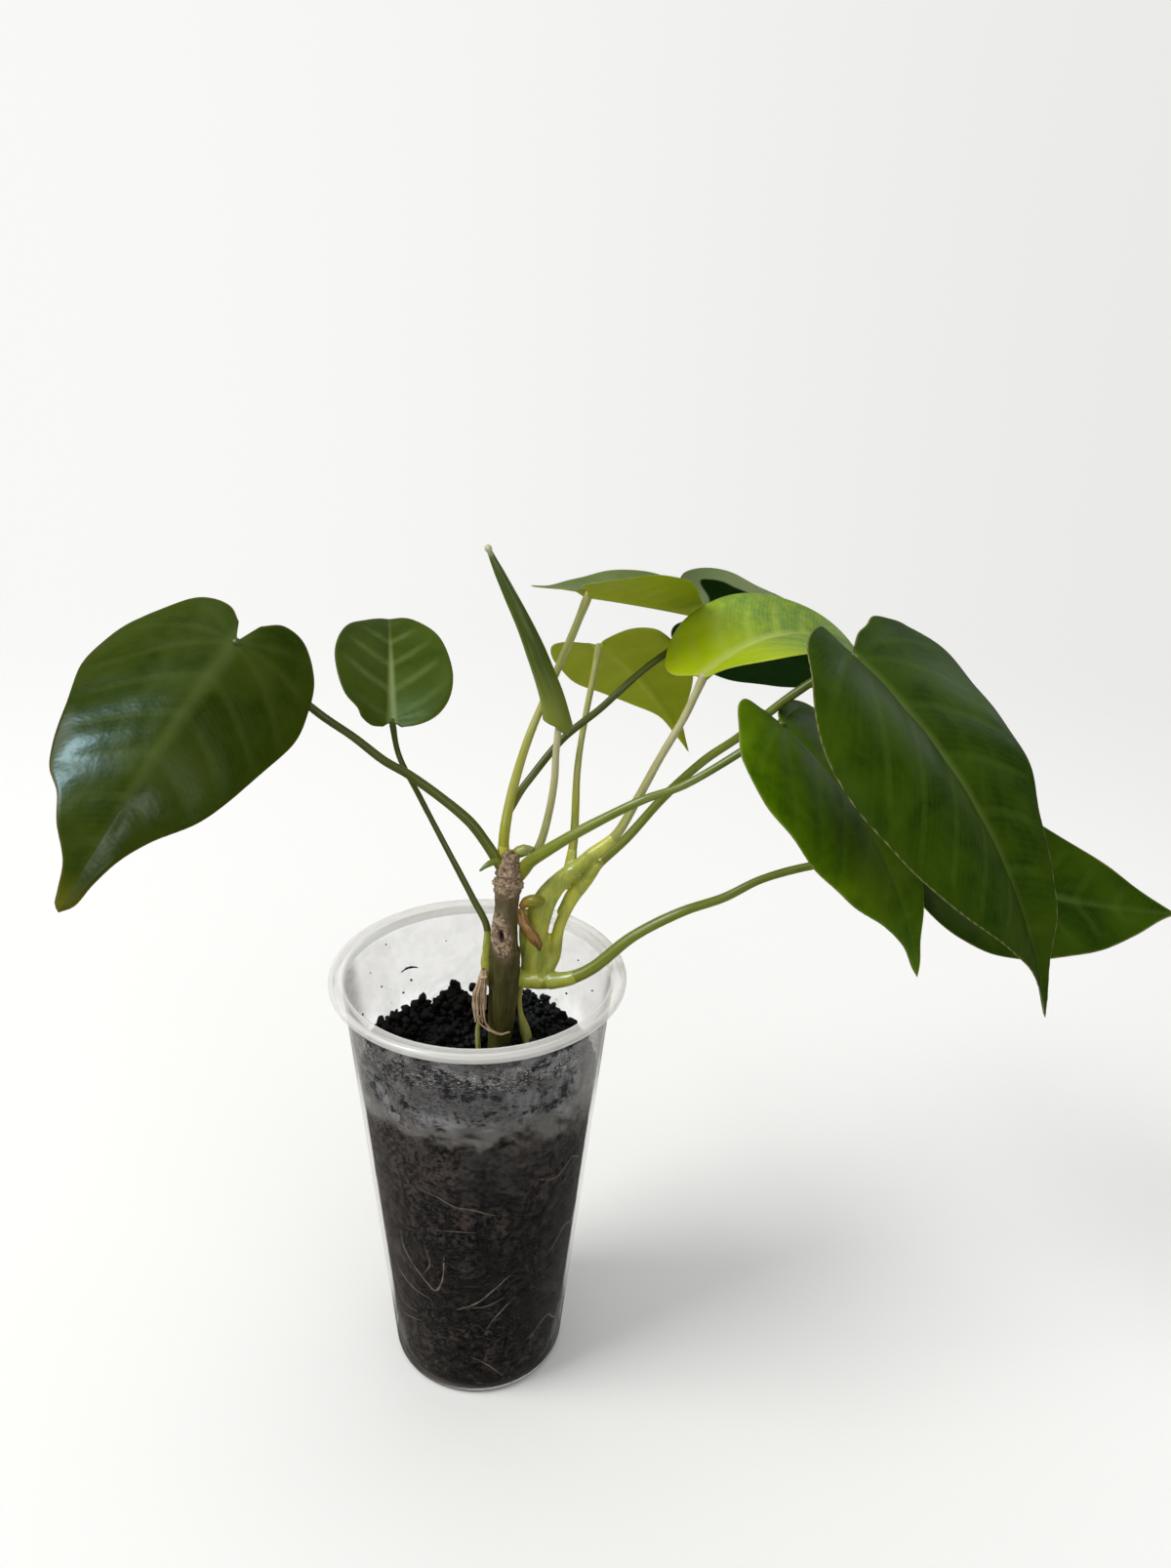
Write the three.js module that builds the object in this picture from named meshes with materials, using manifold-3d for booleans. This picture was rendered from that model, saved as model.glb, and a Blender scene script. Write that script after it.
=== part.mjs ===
// A young philodendron with ten leaves, standing in a clear plastic drinking cup of dark soil.
// Lengths are in millimetres. The origin is the centre of the cup's underside,
// X runs to the right, Y runs to the back and Z runs up.

import * as THREE from 'three';
import { mergeVertices } from 'three/addons/utils/BufferGeometryUtils.js';
import ManifoldLibrary from 'manifold-3d';

const solids = await ManifoldLibrary();
solids.setup();

// Driving dimensions

const GAP = 0.3;
const BLADE_THICKNESS = 0.8;
const FULL_TURN = 2 * Math.PI;

const CUP = {
  height: 154,
  rimRadius: 47.5,
  lipHeight: 3.2,
  neckRadius: 43.1,
  baseRadius: 29.7,
  wall: 0.9,
  floor: 1.8,
  footRound: 2.2,
  grooveInner: 21,
  grooveOuter: 25.5,
  grooveDepth: 0.9,
  grooveSlope: 0.6,
  lipRound: 1,
  sectors: 44,
};

const SOIL = {
  bottom: CUP.floor + GAP,
  edgeHeight: 119,
  moundHeight: 6,
  moundRadius: 17,
  moundCentre: [9, 6],
  edgeDrop: 1,
  wallRoom: 0.2,
  lump: 1.1,
  grain: 0.25,
  rings: 7,
  wallRings: 3,
  sectors: 32,
};

// The old stem: centre line, radius along it, and the marks on its bark
const STUMP = {
  path: [[6, -0.5, 98], [6.4, 0, 120], [6.8, 0, 131], [7.4, 0.6, 145], [7.7, 1, 155], [8, 2, 168],
    [8.4, 3.4, 178], [8.8, 4.2, 185], [9.3, 4.8, 190], [9.6, 5, 191.4]],
  radii: [3.4, 3.4, 3.5, 3.5, 3.7, 4, 4.4, 4.6, 4.5, 3.8, 3.6, 4.4, 2.6],
  sides: 18,
  steps: 26,
  scar: { height: 168, radius: 2.5, shift: 0.4, squash: 0.7, ridge: 0.7, hollow: 0.9 },
  notch: { top: 161, bottom: 125, depth: 0.7 },
  knob: { height: 184, spread: 5, size: 0.5 },
  ripple: 0.12,
};

// Stalks of green tissue at the stem: centre line and radius at each point
const CROWN = {
  path: [[8.4, 5, 176], [8.8, 8, 184], [9.6, 9.4, 190]],
  radii: [2.4, 3.2, 2.6],
};
const SHOOT_LEFT = {
  path: [[17, 4.4, 147.5], [17.4, 5, 155.4], [17.6, 6, 163], [18.8, 7, 171.3], [22.7, 8, 179],
    [28.7, 8, 185.5], [34.6, 8, 191.8]],
  radii: [2.6, 3, 3.5, 3.6, 2.9, 2.5, 2.1],
};
const SHOOT_RIGHT = {
  path: [[19.5, 4.2, 147.6], [23.6, 5, 156], [25.2, 7, 166.2], [29, 8, 175.4], [33.7, 8, 183.3],
    [36.4, 8, 188.6]],
  radii: [2.4, 2.2, 1.9, 1.8, 2, 1.9],
};
const SHOOT_BASE = {
  path: [[9, 2.5, 149.5], [14, 3, 149.1], [20, 4, 148.2], [24.4, 3.6, 148.6]],
  radii: [2.6, 3.3, 3.3, 2.6],
};
const SHOOT_INNER = {
  path: [[15.4, 4.6, 152], [14.2, 5, 162], [13.6, 5.2, 172.5]],
  radii: [1.8, 1.7, 1.3],
};
const LEFT_BUD = {
  path: [[3.4, 2, 147], [2.6, 2.2, 151.5], [2.1, 2.8, 155.6], [2.3, 3.4, 158.6]],
  radii: [1.2, 2, 1.9, 1.4],
};
const TOP_BUD = {
  path: [[9.9, 8.4, 190.9], [11.6, 8.2, 191.8], [13.8, 8.2, 192.7], [16, 8.6, 193.2]],
  radii: [1, 1.9, 1.9, 0.6],
};
const BRACT = {
  path: [[7.4, 4.6, 188.6], [5, 3.4, 190.6], [3.2, 2, 190.6], [0.4, 0, 189.1]],
  radii: [1, 1.2, 0.9, 0.35],
};
const SPROUT = {
  path: [[0.4, 0.5, 116], [-0.3, 0, 124], [-0.5, 1.4, 130.3], [0.1, 2.4, 134]],
  radii: [0.9, 0.9, 0.9, 0.5],
};
const AERIAL_ROOT = {
  path: [[13.4, 3.4, 147], [12.9, 3, 140], [13.6, 2.6, 134.5], [15, 2.4, 129.4], [15.8, 2.4, 126.2],
    [16, 2.4, 118]],
  radii: [0.9, 0.8, 0.95, 1.8, 1.6, 0.8],
};
const DRIED_WRAP = {
  path: [[1.6, -1.4, 154], [0.6, -2.6, 150], [-0.3, -3.4, 146.4], [-0.6, -4.2, 141], [0.4, -5, 137],
    [3.6, -5.6, 134.4], [7.6, -5.6, 133], [10, -4.6, 133.2]],
  radii: [0.8, 1.3, 1.1, 1, 0.9, 0.8, 0.8, 0.7],
};
const DRIED_SHEATH = {
  path: [[12.9, 2.2, 172.6], [14.4, 1.4, 170.6], [17.2, 0.6, 166.8], [19.6, 0.6, 162.4]],
  radii: [0.8, 1.1, 1.2, 0.6],
};
const CURLED_NUB = {
  path: [[13.4, 2.4, 175.8], [15, 1.6, 178], [17.4, 1.4, 178.9], [20, 2, 177.7]],
  radii: [0.9, 1.6, 1.7, 1],
};

// Pale roots against the inside of the cup: angle about Z in degrees, height, and radius
const WALL_ROOTS = [
  { radius: 0.9, route: [[222, 64], [231, 58], [241, 52], [249, 48], [254, 54], [256, 65]] },
  { radius: 0.5, route: [[244, 93], [254, 92], [263, 89], [272, 88], [283, 85]] },
  { radius: 0.6, route: [[262, 41], [274, 45], [286, 52], [293, 56]] },
  { radius: 0.5, route: [[280, 32], [285, 37], [294, 43]] },
  { radius: 0.5, route: [[270, 18], [280, 14], [292, 6]] },
];

// Leaves. base is where the petiole joins and tip is the point of the blade. up is roughly the side
// that the upper face looks to, and roll turns the blade about its midrib, in degrees. sag is the
// rise of the midrib's middle over its chord. fold is the angle of each half at the midrib, close is
// what it gains from the base to the tip, and curl bends it on towards the margin, in degrees per
// millimetre. left and right are the two margins, from the notch round the lobe to the tip, as
// [along the midrib, out from it].
const LEAVES = [
  {
    number: 1,
    base: [-68, -5, 261], tip: [-101, -63, 205], up: [0, -0.6, 0.8],
    roll: -15, sag: 5, twist: -15, fold: [-10, -10], curl: [-0.8, -0.7],
    left: [[-9, 3], [-14, 8], [-14, 15], [-6, 24], [3, 28], [14, 30], [34, 25], [50, 19.5], [62, 11],
      [70, 6.5], [78, 4], [85, 2.6]],
    right: [[-7, 3], [-11, 8], [-11, 18], [-5, 27], [2, 34], [10, 37], [23, 36], [38, 30], [50, 26],
      [56, 22.5], [61, 16.5], [68, 12], [76, 5.5], [83, 3], [86.5, 1.8]],
    stalk: [[7.2, 6, 186.4], [1.6, 7, 195.2], [-4, 8, 202.2], [-22, 10, 215.8], [-30, 11, 220],
      [-39.6, 12, 227.2], [-49, 12, 233.8], [-60, 7, 246.2]],
    stalkRadius: [1.9, 1.25],
  },
  {
    number: 2,
    base: [-29, 20, 230], tip: [-36.6, 63.3, 250.6], up: [0, -0.8, 0.6],
    roll: 13, sag: 3, twist: 0, fold: [20, 20], curl: [0, 0],
    left: [[-3, 3], [-3.6, 7], [-1.5, 10.2], [1.5, 11.5], [6, 15.5], [18, 19], [27.5, 18], [36, 14.5],
      [42.5, 9], [46.8, 4]],
    right: [[-3, 3], [-3, 8], [-1, 13.5], [4, 18], [12, 20], [22, 19], [33, 15.5], [41, 10.5],
      [47, 5]],
    stalk: [[2.4, 3.6, 158.9], [2, 6, 165.8], [-3, 10, 174], [-11, 14, 188], [-20, 17, 205],
      [-27, 19, 219]],
    stalkRadius: [1.3, 0.9],
  },
  {
    number: 4,
    base: [31, 18, 273], tip: [73, 54, 256.6], up: [0, 0, 1],
    roll: 0, sag: 0.5, twist: 0, fold: [2, 26], close: [56, 24], curl: [0, 0],
    left: [[-7, 3], [-15, 5], [-15, 9], [-6, 11.5], [6, 14.5], [20, 18], [34, 17.5], [43, 12.5],
      [51, 6]],
    right: [[-4, 3], [-9, 7], [-9, 12], [-2, 17], [10, 19], [23, 18], [34, 13], [43, 7], [51, 3]],
    stalk: [[8, 8, 184], [7, 8, 192.9], [8.6, 9, 207.8], [13.6, 12, 227.3], [20, 15, 244],
      [27, 17, 262]],
    stalkRadius: [2, 1.2],
  },
  {
    number: 5,
    base: [68, 64, 255.2], tip: [134, 92, 222], up: [0, 0.97, 0.25],
    roll: 0, sag: 0, twist: 0, fold: [25, 4], curl: [0, -2],
    left: [[-2, 4], [-3, 9], [0, 15], [8, 21], [20, 25], [36, 25], [52, 19], [64, 9]],
    right: [[-6, 3], [-14, 8], [-17, 14], [-14, 20], [-6, 24], [6, 25], [18, 26], [35, 25], [51, 19],
      [64, 9]],
    stalk: [[9.4, 11.6, 206.5], [12, 13, 211], [14.6, 15, 214.2], [24.5, 20, 226.1], [36, 24, 235.3],
      [43.2, 27, 241.8], [50.3, 32, 246.9], [56.8, 37, 250.5], [62.6, 50, 252.4]],
    stalkRadius: [1.3, 1.1],
  },
  {
    number: 6,
    base: [34.6, 33, 252.8], tip: [68.4, 67, 205], up: [0, 0.79, 0.61],
    roll: 9, sag: 5, twist: -7, fold: [7, 26], curl: [-0.5, -0.3],
    left: [[-3, 3], [-6, 8], [-5, 14], [4, 20], [14, 22], [25, 22], [34, 17], [41, 11], [49, 3.6],
      [60, 1.6]],
    right: [[-1, 3], [0, 7], [3, 12], [9, 16], [16, 17], [28, 17], [38, 15], [47, 9], [53, 4],
      [61, 1.6]],
    stalk: [[27.6, 9, 183], [28.9, 13, 194.8], [29.3, 21, 216], [31.2, 27, 231], [33, 30, 242]],
    stalkRadius: [1.7, 1],
  },
  {
    number: 7,
    base: [66, 11, 251], tip: [118, 43, 251], up: [0, -0.3, 0.95],
    roll: -20, sag: 9, twist: 40, fold: [12, 20], close: [0, 0], curl: [-0.6, -0.2],
    left: [[-2, 4], [-4, 10], [-2, 17], [4, 23], [14, 27], [25, 26], [35, 21], [45, 15], [55, 8]],
    right: [[-1.5, 3], [-1, 8], [2, 14.5], [9, 23], [20, 28], [34, 25], [46, 18], [56, 9]],
    stalk: [[34.4, 8, 191.7], [42, 8, 199], [48, 8.6, 211], [54, 9.4, 224], [61, 10.4, 238]],
    stalkRadius: [1.8, 1.2],
  },
  {
    number: 8,
    base: [107, -2, 262], tip: [166, -38, 168], up: [0, -0.6, 0.8],
    roll: -33, sag: 11, twist: 20, fold: [9, 30], curl: [-0.5, -1.1],
    left: [[-3, 4], [-5.5, 11], [-6.5, 20], [-8, 29], [-5, 37], [-1, 45], [8, 52], [20, 51], [31, 45],
      [43, 38], [56, 34], [68, 26], [81, 18], [94, 12], [106, 5]],
    right: [[-5, 3], [-11, 8], [-11.5, 16], [-9, 27], [-2, 37], [7, 46], [19, 51], [34, 51], [48, 47],
      [60, 42], [70, 36], [80, 28], [90, 18], [100, 8], [110, 2.4]],
    stalk: [[33.2, 10.4, 182.6], [36.8, 13, 186], [45.4, 14, 195], [57, 15, 210], [68, 13, 223],
      [78, 6, 234.5], [87, 0, 246.2], [96.2, -1, 254.4]],
    stalkRadius: [1.7, 1.3],
  },
  {
    number: 9,
    base: [88, -4, 242], tip: [133, -22, 170], up: [0, -0.6, 0.8],
    roll: -40, sag: 8, twist: 20, fold: [7, 7], curl: [-0.7, -0.7],
    left: [[-3, 3], [-4, 8], [-2, 17], [3, 27], [11, 34], [24, 35], [40, 31], [56, 22], [70, 10],
      [78, 4.4], [85, 2.2]],
    right: [[-7, 2], [-12, 5], [-13, 12], [-8, 21], [-1, 31], [10, 35], [22, 34], [34, 32], [45, 27],
      [54, 22], [65, 13], [76, 5], [84, 2.6]],
    stalk: [[11.4, 1.6, 187], [15, -0.6, 192.3], [27, -4, 203], [37, -5, 210], [49, -5, 217],
      [61, -4.4, 222], [77, -4, 233]],
    stalkRadius: [2.4, 1.2],
  },
  {
    number: 10,
    base: [141, 12, 193], tip: [222, 8, 178.5], up: [0, -0.5, 0.86],
    roll: -6, sag: -5, twist: 10, fold: [14, 10], curl: [-0.2, -0.3],
    left: [[-6, 4], [-11, 10], [-8, 20], [3, 28], [18, 30], [35, 27], [48, 22], [60, 15], [72, 7]],
    right: [[-6, 4], [-9, 11], [-5, 21], [4, 29], [16, 31], [29, 29], [43, 24], [57, 18], [69, 10],
      [78, 3]],
    stalk: [[23, 2.8, 148.4], [29, 2.2, 150], [36, 2, 154], [49, 3, 166], [64, 4, 175],
      [77, 6, 179.5], [89, 8, 185.6], [105, 10, 190], [126, 12, 192.3]],
    stalkRadius: [2.4, 1.3],
  },
];

// The leaf that is still rolled up: centre line, radius, and the step of its outer edge
const SPEAR = {
  path: [[23.4, 8, 234], [22.6, 8, 237.5], [21.2, 8, 243.2], [18.2, 7.6, 252], [13.3, 7, 264.3],
    [8.2, 6.5, 275], [4.1, 6, 283.6], [1.8, 6, 288.6]],
  radii: [4, 3.4, 3, 2.7, 2.2, 1.8, 1.3, 0.5],
  step: 0.2,
  sides: 14,
  steps: 13,
};
const SPEAR_STALK = {
  path: [[14.7, 10, 187.3], [18.2, 10, 193.7], [20.8, 10, 204.3], [22.4, 9.4, 216.2],
    [22.7, 8.6, 226.2], [23.2, 8, 233.6]],
  radii: [1.3, 1.3, 1.2, 1.15, 1.1, 1],
};

// Colours

const paint = (color, roughness) => new THREE.MeshStandardMaterial({ color, roughness, metalness: 0 });
const clearPlastic = paint(0xd9d5cf, 0.25);
clearPlastic.transparent = true;
clearPlastic.opacity = 0.4;
const darkSoil = paint(0x17110d, 0.95);
const bark = paint(0x7a6a4e, 0.9);
const greenStem = paint(0x8da334, 0.5);
const paleStem = paint(0xb9b46c, 0.5);
const darkLeaf = paint(0x2f4f12, 0.4);
const brightLeaf = paint(0x7fa313, 0.4);
const oliveLeaf = paint(0x7d8a1c, 0.5);
const driedBrown = paint(0x8a6136, 0.9);
const paleRoot = paint(0xb59f78, 0.8);

const LEAF_PAINT = { 4: oliveLeaf, 6: oliveLeaf, 7: brightLeaf };
const STALK_PAINT = { 7: paleStem };

// Small helpers

const vector = (p) => new THREE.Vector3(...p);
const radians = THREE.MathUtils.degToRad;
const lerp = THREE.MathUtils.lerp;

// A value read along a short list, for t from 0 to 1
function along(values, t) {
  const place = t * (values.length - 1);
  const index = Math.min(Math.floor(place), values.length - 2);
  return lerp(values[index], values[index + 1], place - index);
}

// A repeatable number from 0 to 1 for two whole numbers
function scatter(i, j) {
  const s = Math.sin(i * 12.9898 + j * 78.233) * 43758.5453;
  return s - Math.floor(s);
}

// A closed shape gathered triangle by triangle, with shared corners
class Shell {
  constructor() {
    this.points = [];
    this.faces = [];
    this.index = new Map();
  }

  corner(p) {
    const key = `${p.x.toFixed(4)},${p.y.toFixed(4)},${p.z.toFixed(4)}`;
    if (!this.index.has(key)) {
      this.index.set(key, this.points.length);
      this.points.push(p.clone());
    }
    return this.index.get(key);
  }

  face(a, b, c) {
    const [i, j, k] = [this.corner(a), this.corner(b), this.corner(c)];
    if (i !== j && j !== k && k !== i) this.faces.push([i, j, k]);
  }

  quad(a, b, c, d) {
    this.face(a, b, c);
    this.face(a, c, d);
  }

  geometry() {
    const geometry = new THREE.BufferGeometry();
    const positions = this.points.flatMap((p) => [p.x, p.y, p.z]);
    geometry.setAttribute('position', new THREE.Float32BufferAttribute(positions, 3));
    geometry.setIndex(this.faces.flat());
    return geometry;
  }
}

function toSolid(geometry) {
  const bare = geometry.clone();
  bare.deleteAttribute('normal');
  bare.deleteAttribute('uv');
  const merged = mergeVertices(bare, 1e-4);
  return new solids.Manifold(new solids.Mesh({
    numProp: 3,
    vertProperties: new Float32Array(merged.attributes.position.array),
    triVerts: new Uint32Array(merged.index.array),
  }));
}

function toGeometry(solid) {
  const mesh = solid.getMesh();
  const geometry = new THREE.BufferGeometry();
  geometry.setAttribute('position', new THREE.BufferAttribute(mesh.vertProperties, 3));
  geometry.setIndex(new THREE.BufferAttribute(mesh.triVerts, 1));
  return geometry;
}

// A closed tube along a smooth line. profile gives the radius for a place along it and an angle.
function loft(points, profile, sides, steps) {
  const curve = new THREE.CatmullRomCurve3(points.map(vector), false, 'centripetal');
  const frames = curve.computeFrenetFrames(steps, false);
  const rings = [];
  for (let i = 0; i <= steps; i += 1) {
    const t = i / steps;
    const centre = curve.getPointAt(t);
    const ring = [];
    for (let j = 0; j < sides; j += 1) {
      const angle = (j / sides) * FULL_TURN;
      const out = frames.normals[i].clone().multiplyScalar(Math.cos(angle))
        .addScaledVector(frames.binormals[i], Math.sin(angle));
      ring.push(centre.clone().addScaledVector(out, profile(t, angle, out, centre)));
    }
    rings.push({ centre, ring });
  }
  const shell = new Shell();
  for (let j = 0; j < sides; j += 1) {
    const next = (j + 1) % sides;
    for (let i = 0; i < steps; i += 1) {
      const [low, high] = [rings[i].ring, rings[i + 1].ring];
      shell.quad(low[j], low[next], high[next], high[j]);
    }
    shell.face(rings[0].centre, rings[0].ring[next], rings[0].ring[j]);
    shell.face(rings[steps].centre, rings[steps].ring[j], rings[steps].ring[next]);
  }
  return shell.geometry();
}

function stalk({ path, radii }, extra = 0, sides = 7, steps = 2 * (path.length - 1)) {
  return toSolid(loft(path, (t) => along(radii, t) + extra, sides, steps));
}

// Cup

// Radius of the cup's wall at a height, outside and inside
const wallOutside = (z) => lerp(CUP.baseRadius, CUP.neckRadius, z / (CUP.height - CUP.lipHeight));
const wallInside = (z) => wallOutside(z) - CUP.wall;

function cupGeometry() {
  const lipBottom = CUP.height - CUP.lipHeight;
  const lipMiddle = CUP.height - CUP.lipHeight / 2;
  const { footRound: round, lipRound, grooveSlope: slope } = CUP;
  const [lowThird, highThird] = [lipBottom / 3, (2 * lipBottom) / 3];
  const profile = [
    [0, 0],
    [CUP.grooveInner, 0],
    [CUP.grooveInner + slope, CUP.grooveDepth],
    [CUP.grooveOuter - slope, CUP.grooveDepth],
    [CUP.grooveOuter, 0],
    [CUP.baseRadius - round, 0],
    [CUP.baseRadius - round * (1 - Math.SQRT1_2), round * (1 - Math.SQRT1_2)],
    [wallOutside(round), round],
    [wallOutside(lowThird), lowThird],
    [wallOutside(highThird), highThird],
    [CUP.neckRadius, lipBottom],
    [CUP.rimRadius - lipRound, lipBottom],
    [CUP.rimRadius, lipMiddle],
    [CUP.rimRadius - lipRound, CUP.height],
    [CUP.neckRadius + lipRound, CUP.height],
    [wallInside(lipBottom), lipBottom],
    [wallInside(highThird), highThird],
    [wallInside(lowThird), lowThird],
    [wallInside(CUP.floor + round), CUP.floor + round],
    [wallInside(0) - round, CUP.floor],
    [0, CUP.floor],
  ];
  const outline = profile.map(([r, z]) => new THREE.Vector2(r, z));
  return new THREE.LatheGeometry(outline, CUP.sectors).rotateX(Math.PI / 2);
}

// Soil

// Height of the soil's lumpy top: a low mound round the stem under two crossing sets of waves
function soilTop(x, y) {
  const [cx, cy] = SOIL.moundCentre;
  const away = Math.hypot(x - cx, y - cy) / SOIL.moundRadius;
  const mound = SOIL.moundHeight * Math.exp(-away * away);
  const broad = Math.sin(x * 0.55 + y * 0.2) * Math.cos(y * 0.6 - x * 0.15);
  const fine = 0.6 * Math.sin(x * 1.1 - y * 0.9 + 1.3);
  return SOIL.edgeHeight + mound + SOIL.lump * (broad + fine);
}

function soilSolid() {
  const shell = new Shell();
  const { sectors, rings, wallRings } = SOIL;
  const room = GAP + SOIL.wallRoom;
  const edge = wallInside(SOIL.edgeHeight) - room;
  const edgeTop = SOIL.edgeHeight - SOIL.edgeDrop;
  const foot = wallInside(SOIL.bottom) - CUP.footRound - GAP;
  const topPoint = (ring, sector) => {
    const angle = (sector / sectors) * FULL_TURN;
    const jitter = SOIL.grain * scatter(ring, sector);
    const radius = (edge * (ring - jitter)) / rings;
    const [x, y] = [radius * Math.cos(angle), radius * Math.sin(angle)];
    return new THREE.Vector3(x, y, soilTop(x, y));
  };
  const sidePoint = (ring, sector) => {
    const angle = (sector / sectors) * FULL_TURN;
    const z = lerp(edgeTop, SOIL.bottom + CUP.footRound, ring / wallRings);
    const radius = wallInside(z) - room;
    return new THREE.Vector3(radius * Math.cos(angle), radius * Math.sin(angle), z);
  };
  const footPoint = (sector) => {
    const angle = (sector / sectors) * FULL_TURN;
    return new THREE.Vector3(foot * Math.cos(angle), foot * Math.sin(angle), SOIL.bottom);
  };
  const middle = new THREE.Vector3(0, 0, soilTop(0, 0));
  const under = new THREE.Vector3(0, 0, SOIL.bottom);
  for (let s = 0; s < sectors; s += 1) {
    const n = (s + 1) % sectors;
    shell.face(middle, topPoint(1, s), topPoint(1, n));
    for (let r = 1; r < rings - 1; r += 1) {
      shell.quad(topPoint(r, s), topPoint(r + 1, s), topPoint(r + 1, n), topPoint(r, n));
    }
    shell.quad(topPoint(rings - 1, s), sidePoint(0, s), sidePoint(0, n), topPoint(rings - 1, n));
    for (let r = 0; r < wallRings; r += 1) {
      shell.quad(sidePoint(r, s), sidePoint(r + 1, s), sidePoint(r + 1, n), sidePoint(r, n));
    }
    shell.quad(sidePoint(wallRings, s), footPoint(s), footPoint(n), sidePoint(wallRings, n));
    shell.face(under, footPoint(n), footPoint(s));
  }
  return toSolid(shell.geometry());
}

// A root that lies along the inside of the wall, with both of its ends turned into the soil
function wallRoot({ radius, route }) {
  const path = route.map(([degrees, z], i) => {
    const sunk = i === 0 || i === route.length - 1 ? 1.5 * radius : 0;
    const out = wallInside(z) - GAP - SOIL.wallRoom / 2 - radius - sunk;
    return [out * Math.cos(radians(degrees)), out * Math.sin(radians(degrees)), z];
  });
  return { path, radii: [0.6 * radius, radius, radius, 0.6 * radius] };
}

// Old stem

// The stem, with a ring-shaped leaf scar on its front, a step on its right, and knobs near its top
function stumpSolid(extra = 0) {
  const { scar, notch, knob } = STUMP;
  const radiusAt = (t, angle, out, centre) => {
    let radius = along(STUMP.radii, t) + extra;
    const front = Math.atan2(out.x, -out.y) * radius;
    const fromScar = Math.hypot(front + scar.shift, (centre.z - scar.height) * scar.squash) / scar.radius;
    radius += scar.ridge * Math.exp(-9 * (fromScar - 0.9) ** 2);
    radius -= scar.hollow * Math.exp(-5 * fromScar ** 2);
    if (centre.z < notch.top && centre.z > notch.bottom) radius += notch.depth * Math.max(0, out.x);
    const knobby = knob.size * Math.exp(-(((centre.z - knob.height) / knob.spread) ** 2));
    radius += knobby * (Math.sin(4 * angle + centre.z * 1.3) + 0.6 * Math.sin(7 * angle));
    return radius + STUMP.ripple * Math.sin(5 * angle + centre.z * 0.4);
  };
  return toSolid(loft(STUMP.path, radiusAt, STUMP.sides, STUMP.steps));
}

// Leaves

// The shape of one blade in space
class Blade {
  constructor(leaf) {
    this.leaf = leaf;
    this.base = vector(leaf.base);
    this.chord = vector(leaf.tip).sub(this.base);
    this.reach = this.chord.length();
    this.forward = this.chord.clone().normalize();
    const up = vector(leaf.up);
    up.addScaledVector(this.forward, -up.dot(this.forward)).normalize();
    const side = this.forward.clone().cross(up);
    const roll = radians(leaf.roll);
    this.normal = up.multiplyScalar(Math.cos(roll)).addScaledVector(side, Math.sin(roll));
    this.side = this.forward.clone().cross(this.normal);
    this.places = [0];
    const pieces = 40;
    for (let i = 1; i <= pieces; i += 1) {
      const drop = this.rise(i / pieces) - this.rise((i - 1) / pieces);
      this.places.push(this.places[i - 1] + Math.hypot(this.reach / pieces, drop));
    }
    this.length = this.places[pieces];
  }

  rise(t) {
    return 4 * this.leaf.sag * t * (1 - t);
  }

  // Place on the midrib at a distance from the base, with the directions there
  rib(u) {
    const pieces = this.places.length - 1;
    let t = 0;
    if (u > 0) {
      let i = 1;
      while (i < pieces && this.places[i] < u) i += 1;
      t = (i - 1 + (u - this.places[i - 1]) / (this.places[i] - this.places[i - 1])) / pieces;
    }
    const slope = (4 * this.leaf.sag * (1 - 2 * t)) / this.reach;
    const along3 = this.forward.clone().addScaledVector(this.normal, slope).normalize();
    const point = this.base.clone().addScaledVector(this.forward, t * this.reach)
      .addScaledVector(this.normal, this.rise(t));
    if (u < 0) point.addScaledVector(along3, u);
    const straight = this.side.clone().cross(along3);
    const across = along3.clone().cross(straight);
    const twist = radians(this.leaf.twist) * Math.max(0, u / this.length);
    const normal = straight.multiplyScalar(Math.cos(twist)).addScaledVector(across, Math.sin(twist));
    return { point, normal, side: along3.clone().cross(normal), forward: along3 };
  }

  // Place on the blade: u along the midrib, v out from it, to the left with -1, the right with 1
  at(u, v, hand) {
    const { point, normal, side } = this.rib(u);
    const half = hand < 0 ? 0 : 1;
    const close = this.leaf.close ? this.leaf.close[half] * (u / this.length) : 0;
    const fold = radians(this.leaf.fold[half] + close);
    const curl = radians(this.leaf.curl[half]);
    let out = v * Math.cos(fold);
    let rise = v * Math.sin(fold);
    if (Math.abs(curl) > 1e-6) {
      out = (Math.sin(fold + curl * v) - Math.sin(fold)) / curl;
      rise = (Math.cos(fold) - Math.cos(fold + curl * v)) / curl;
    }
    return point.addScaledVector(side, hand * out).addScaledVector(normal, rise);
  }
}

const BLADE_GRID = { lobe: 4, rib: 8, out: 3 };

// The thin sheet of a blade: each half is ruled from its midrib out to its margin
function bladeSheet(blade) {
  const shell = new Shell();
  const { lobe, rib, out } = BLADE_GRID;
  for (const hand of [-1, 1]) {
    const margin = hand < 0 ? blade.leaf.left : blade.leaf.right;
    const points = [...margin, [blade.length, 0]].map(([u, v]) => new THREE.Vector3(u, v, 0));
    const curve = new THREE.CatmullRomCurve3(points, false, 'centripetal');
    const firstAhead = margin.findIndex(([u]) => u > 0) / (points.length - 1);
    const cell = (station, row) => {
      const onRib = Math.max(0, station - lobe) / rib;
      const t = station < lobe ? (firstAhead * station) / lobe : lerp(firstAhead, 1, onRib);
      const edge = curve.getPoint(t);
      const share = row / out;
      const u = lerp(blade.length * onRib, edge.x, share);
      return blade.at(u, edge.y * share, hand);
    };
    for (let s = 0; s < lobe + rib; s += 1) {
      for (let r = 0; r < out; r += 1) {
        const corners = [cell(s, r), cell(s, r + 1), cell(s + 1, r + 1), cell(s + 1, r)];
        if (hand > 0) corners.reverse();
        shell.quad(...corners);
      }
    }
  }
  return shell;
}

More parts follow.
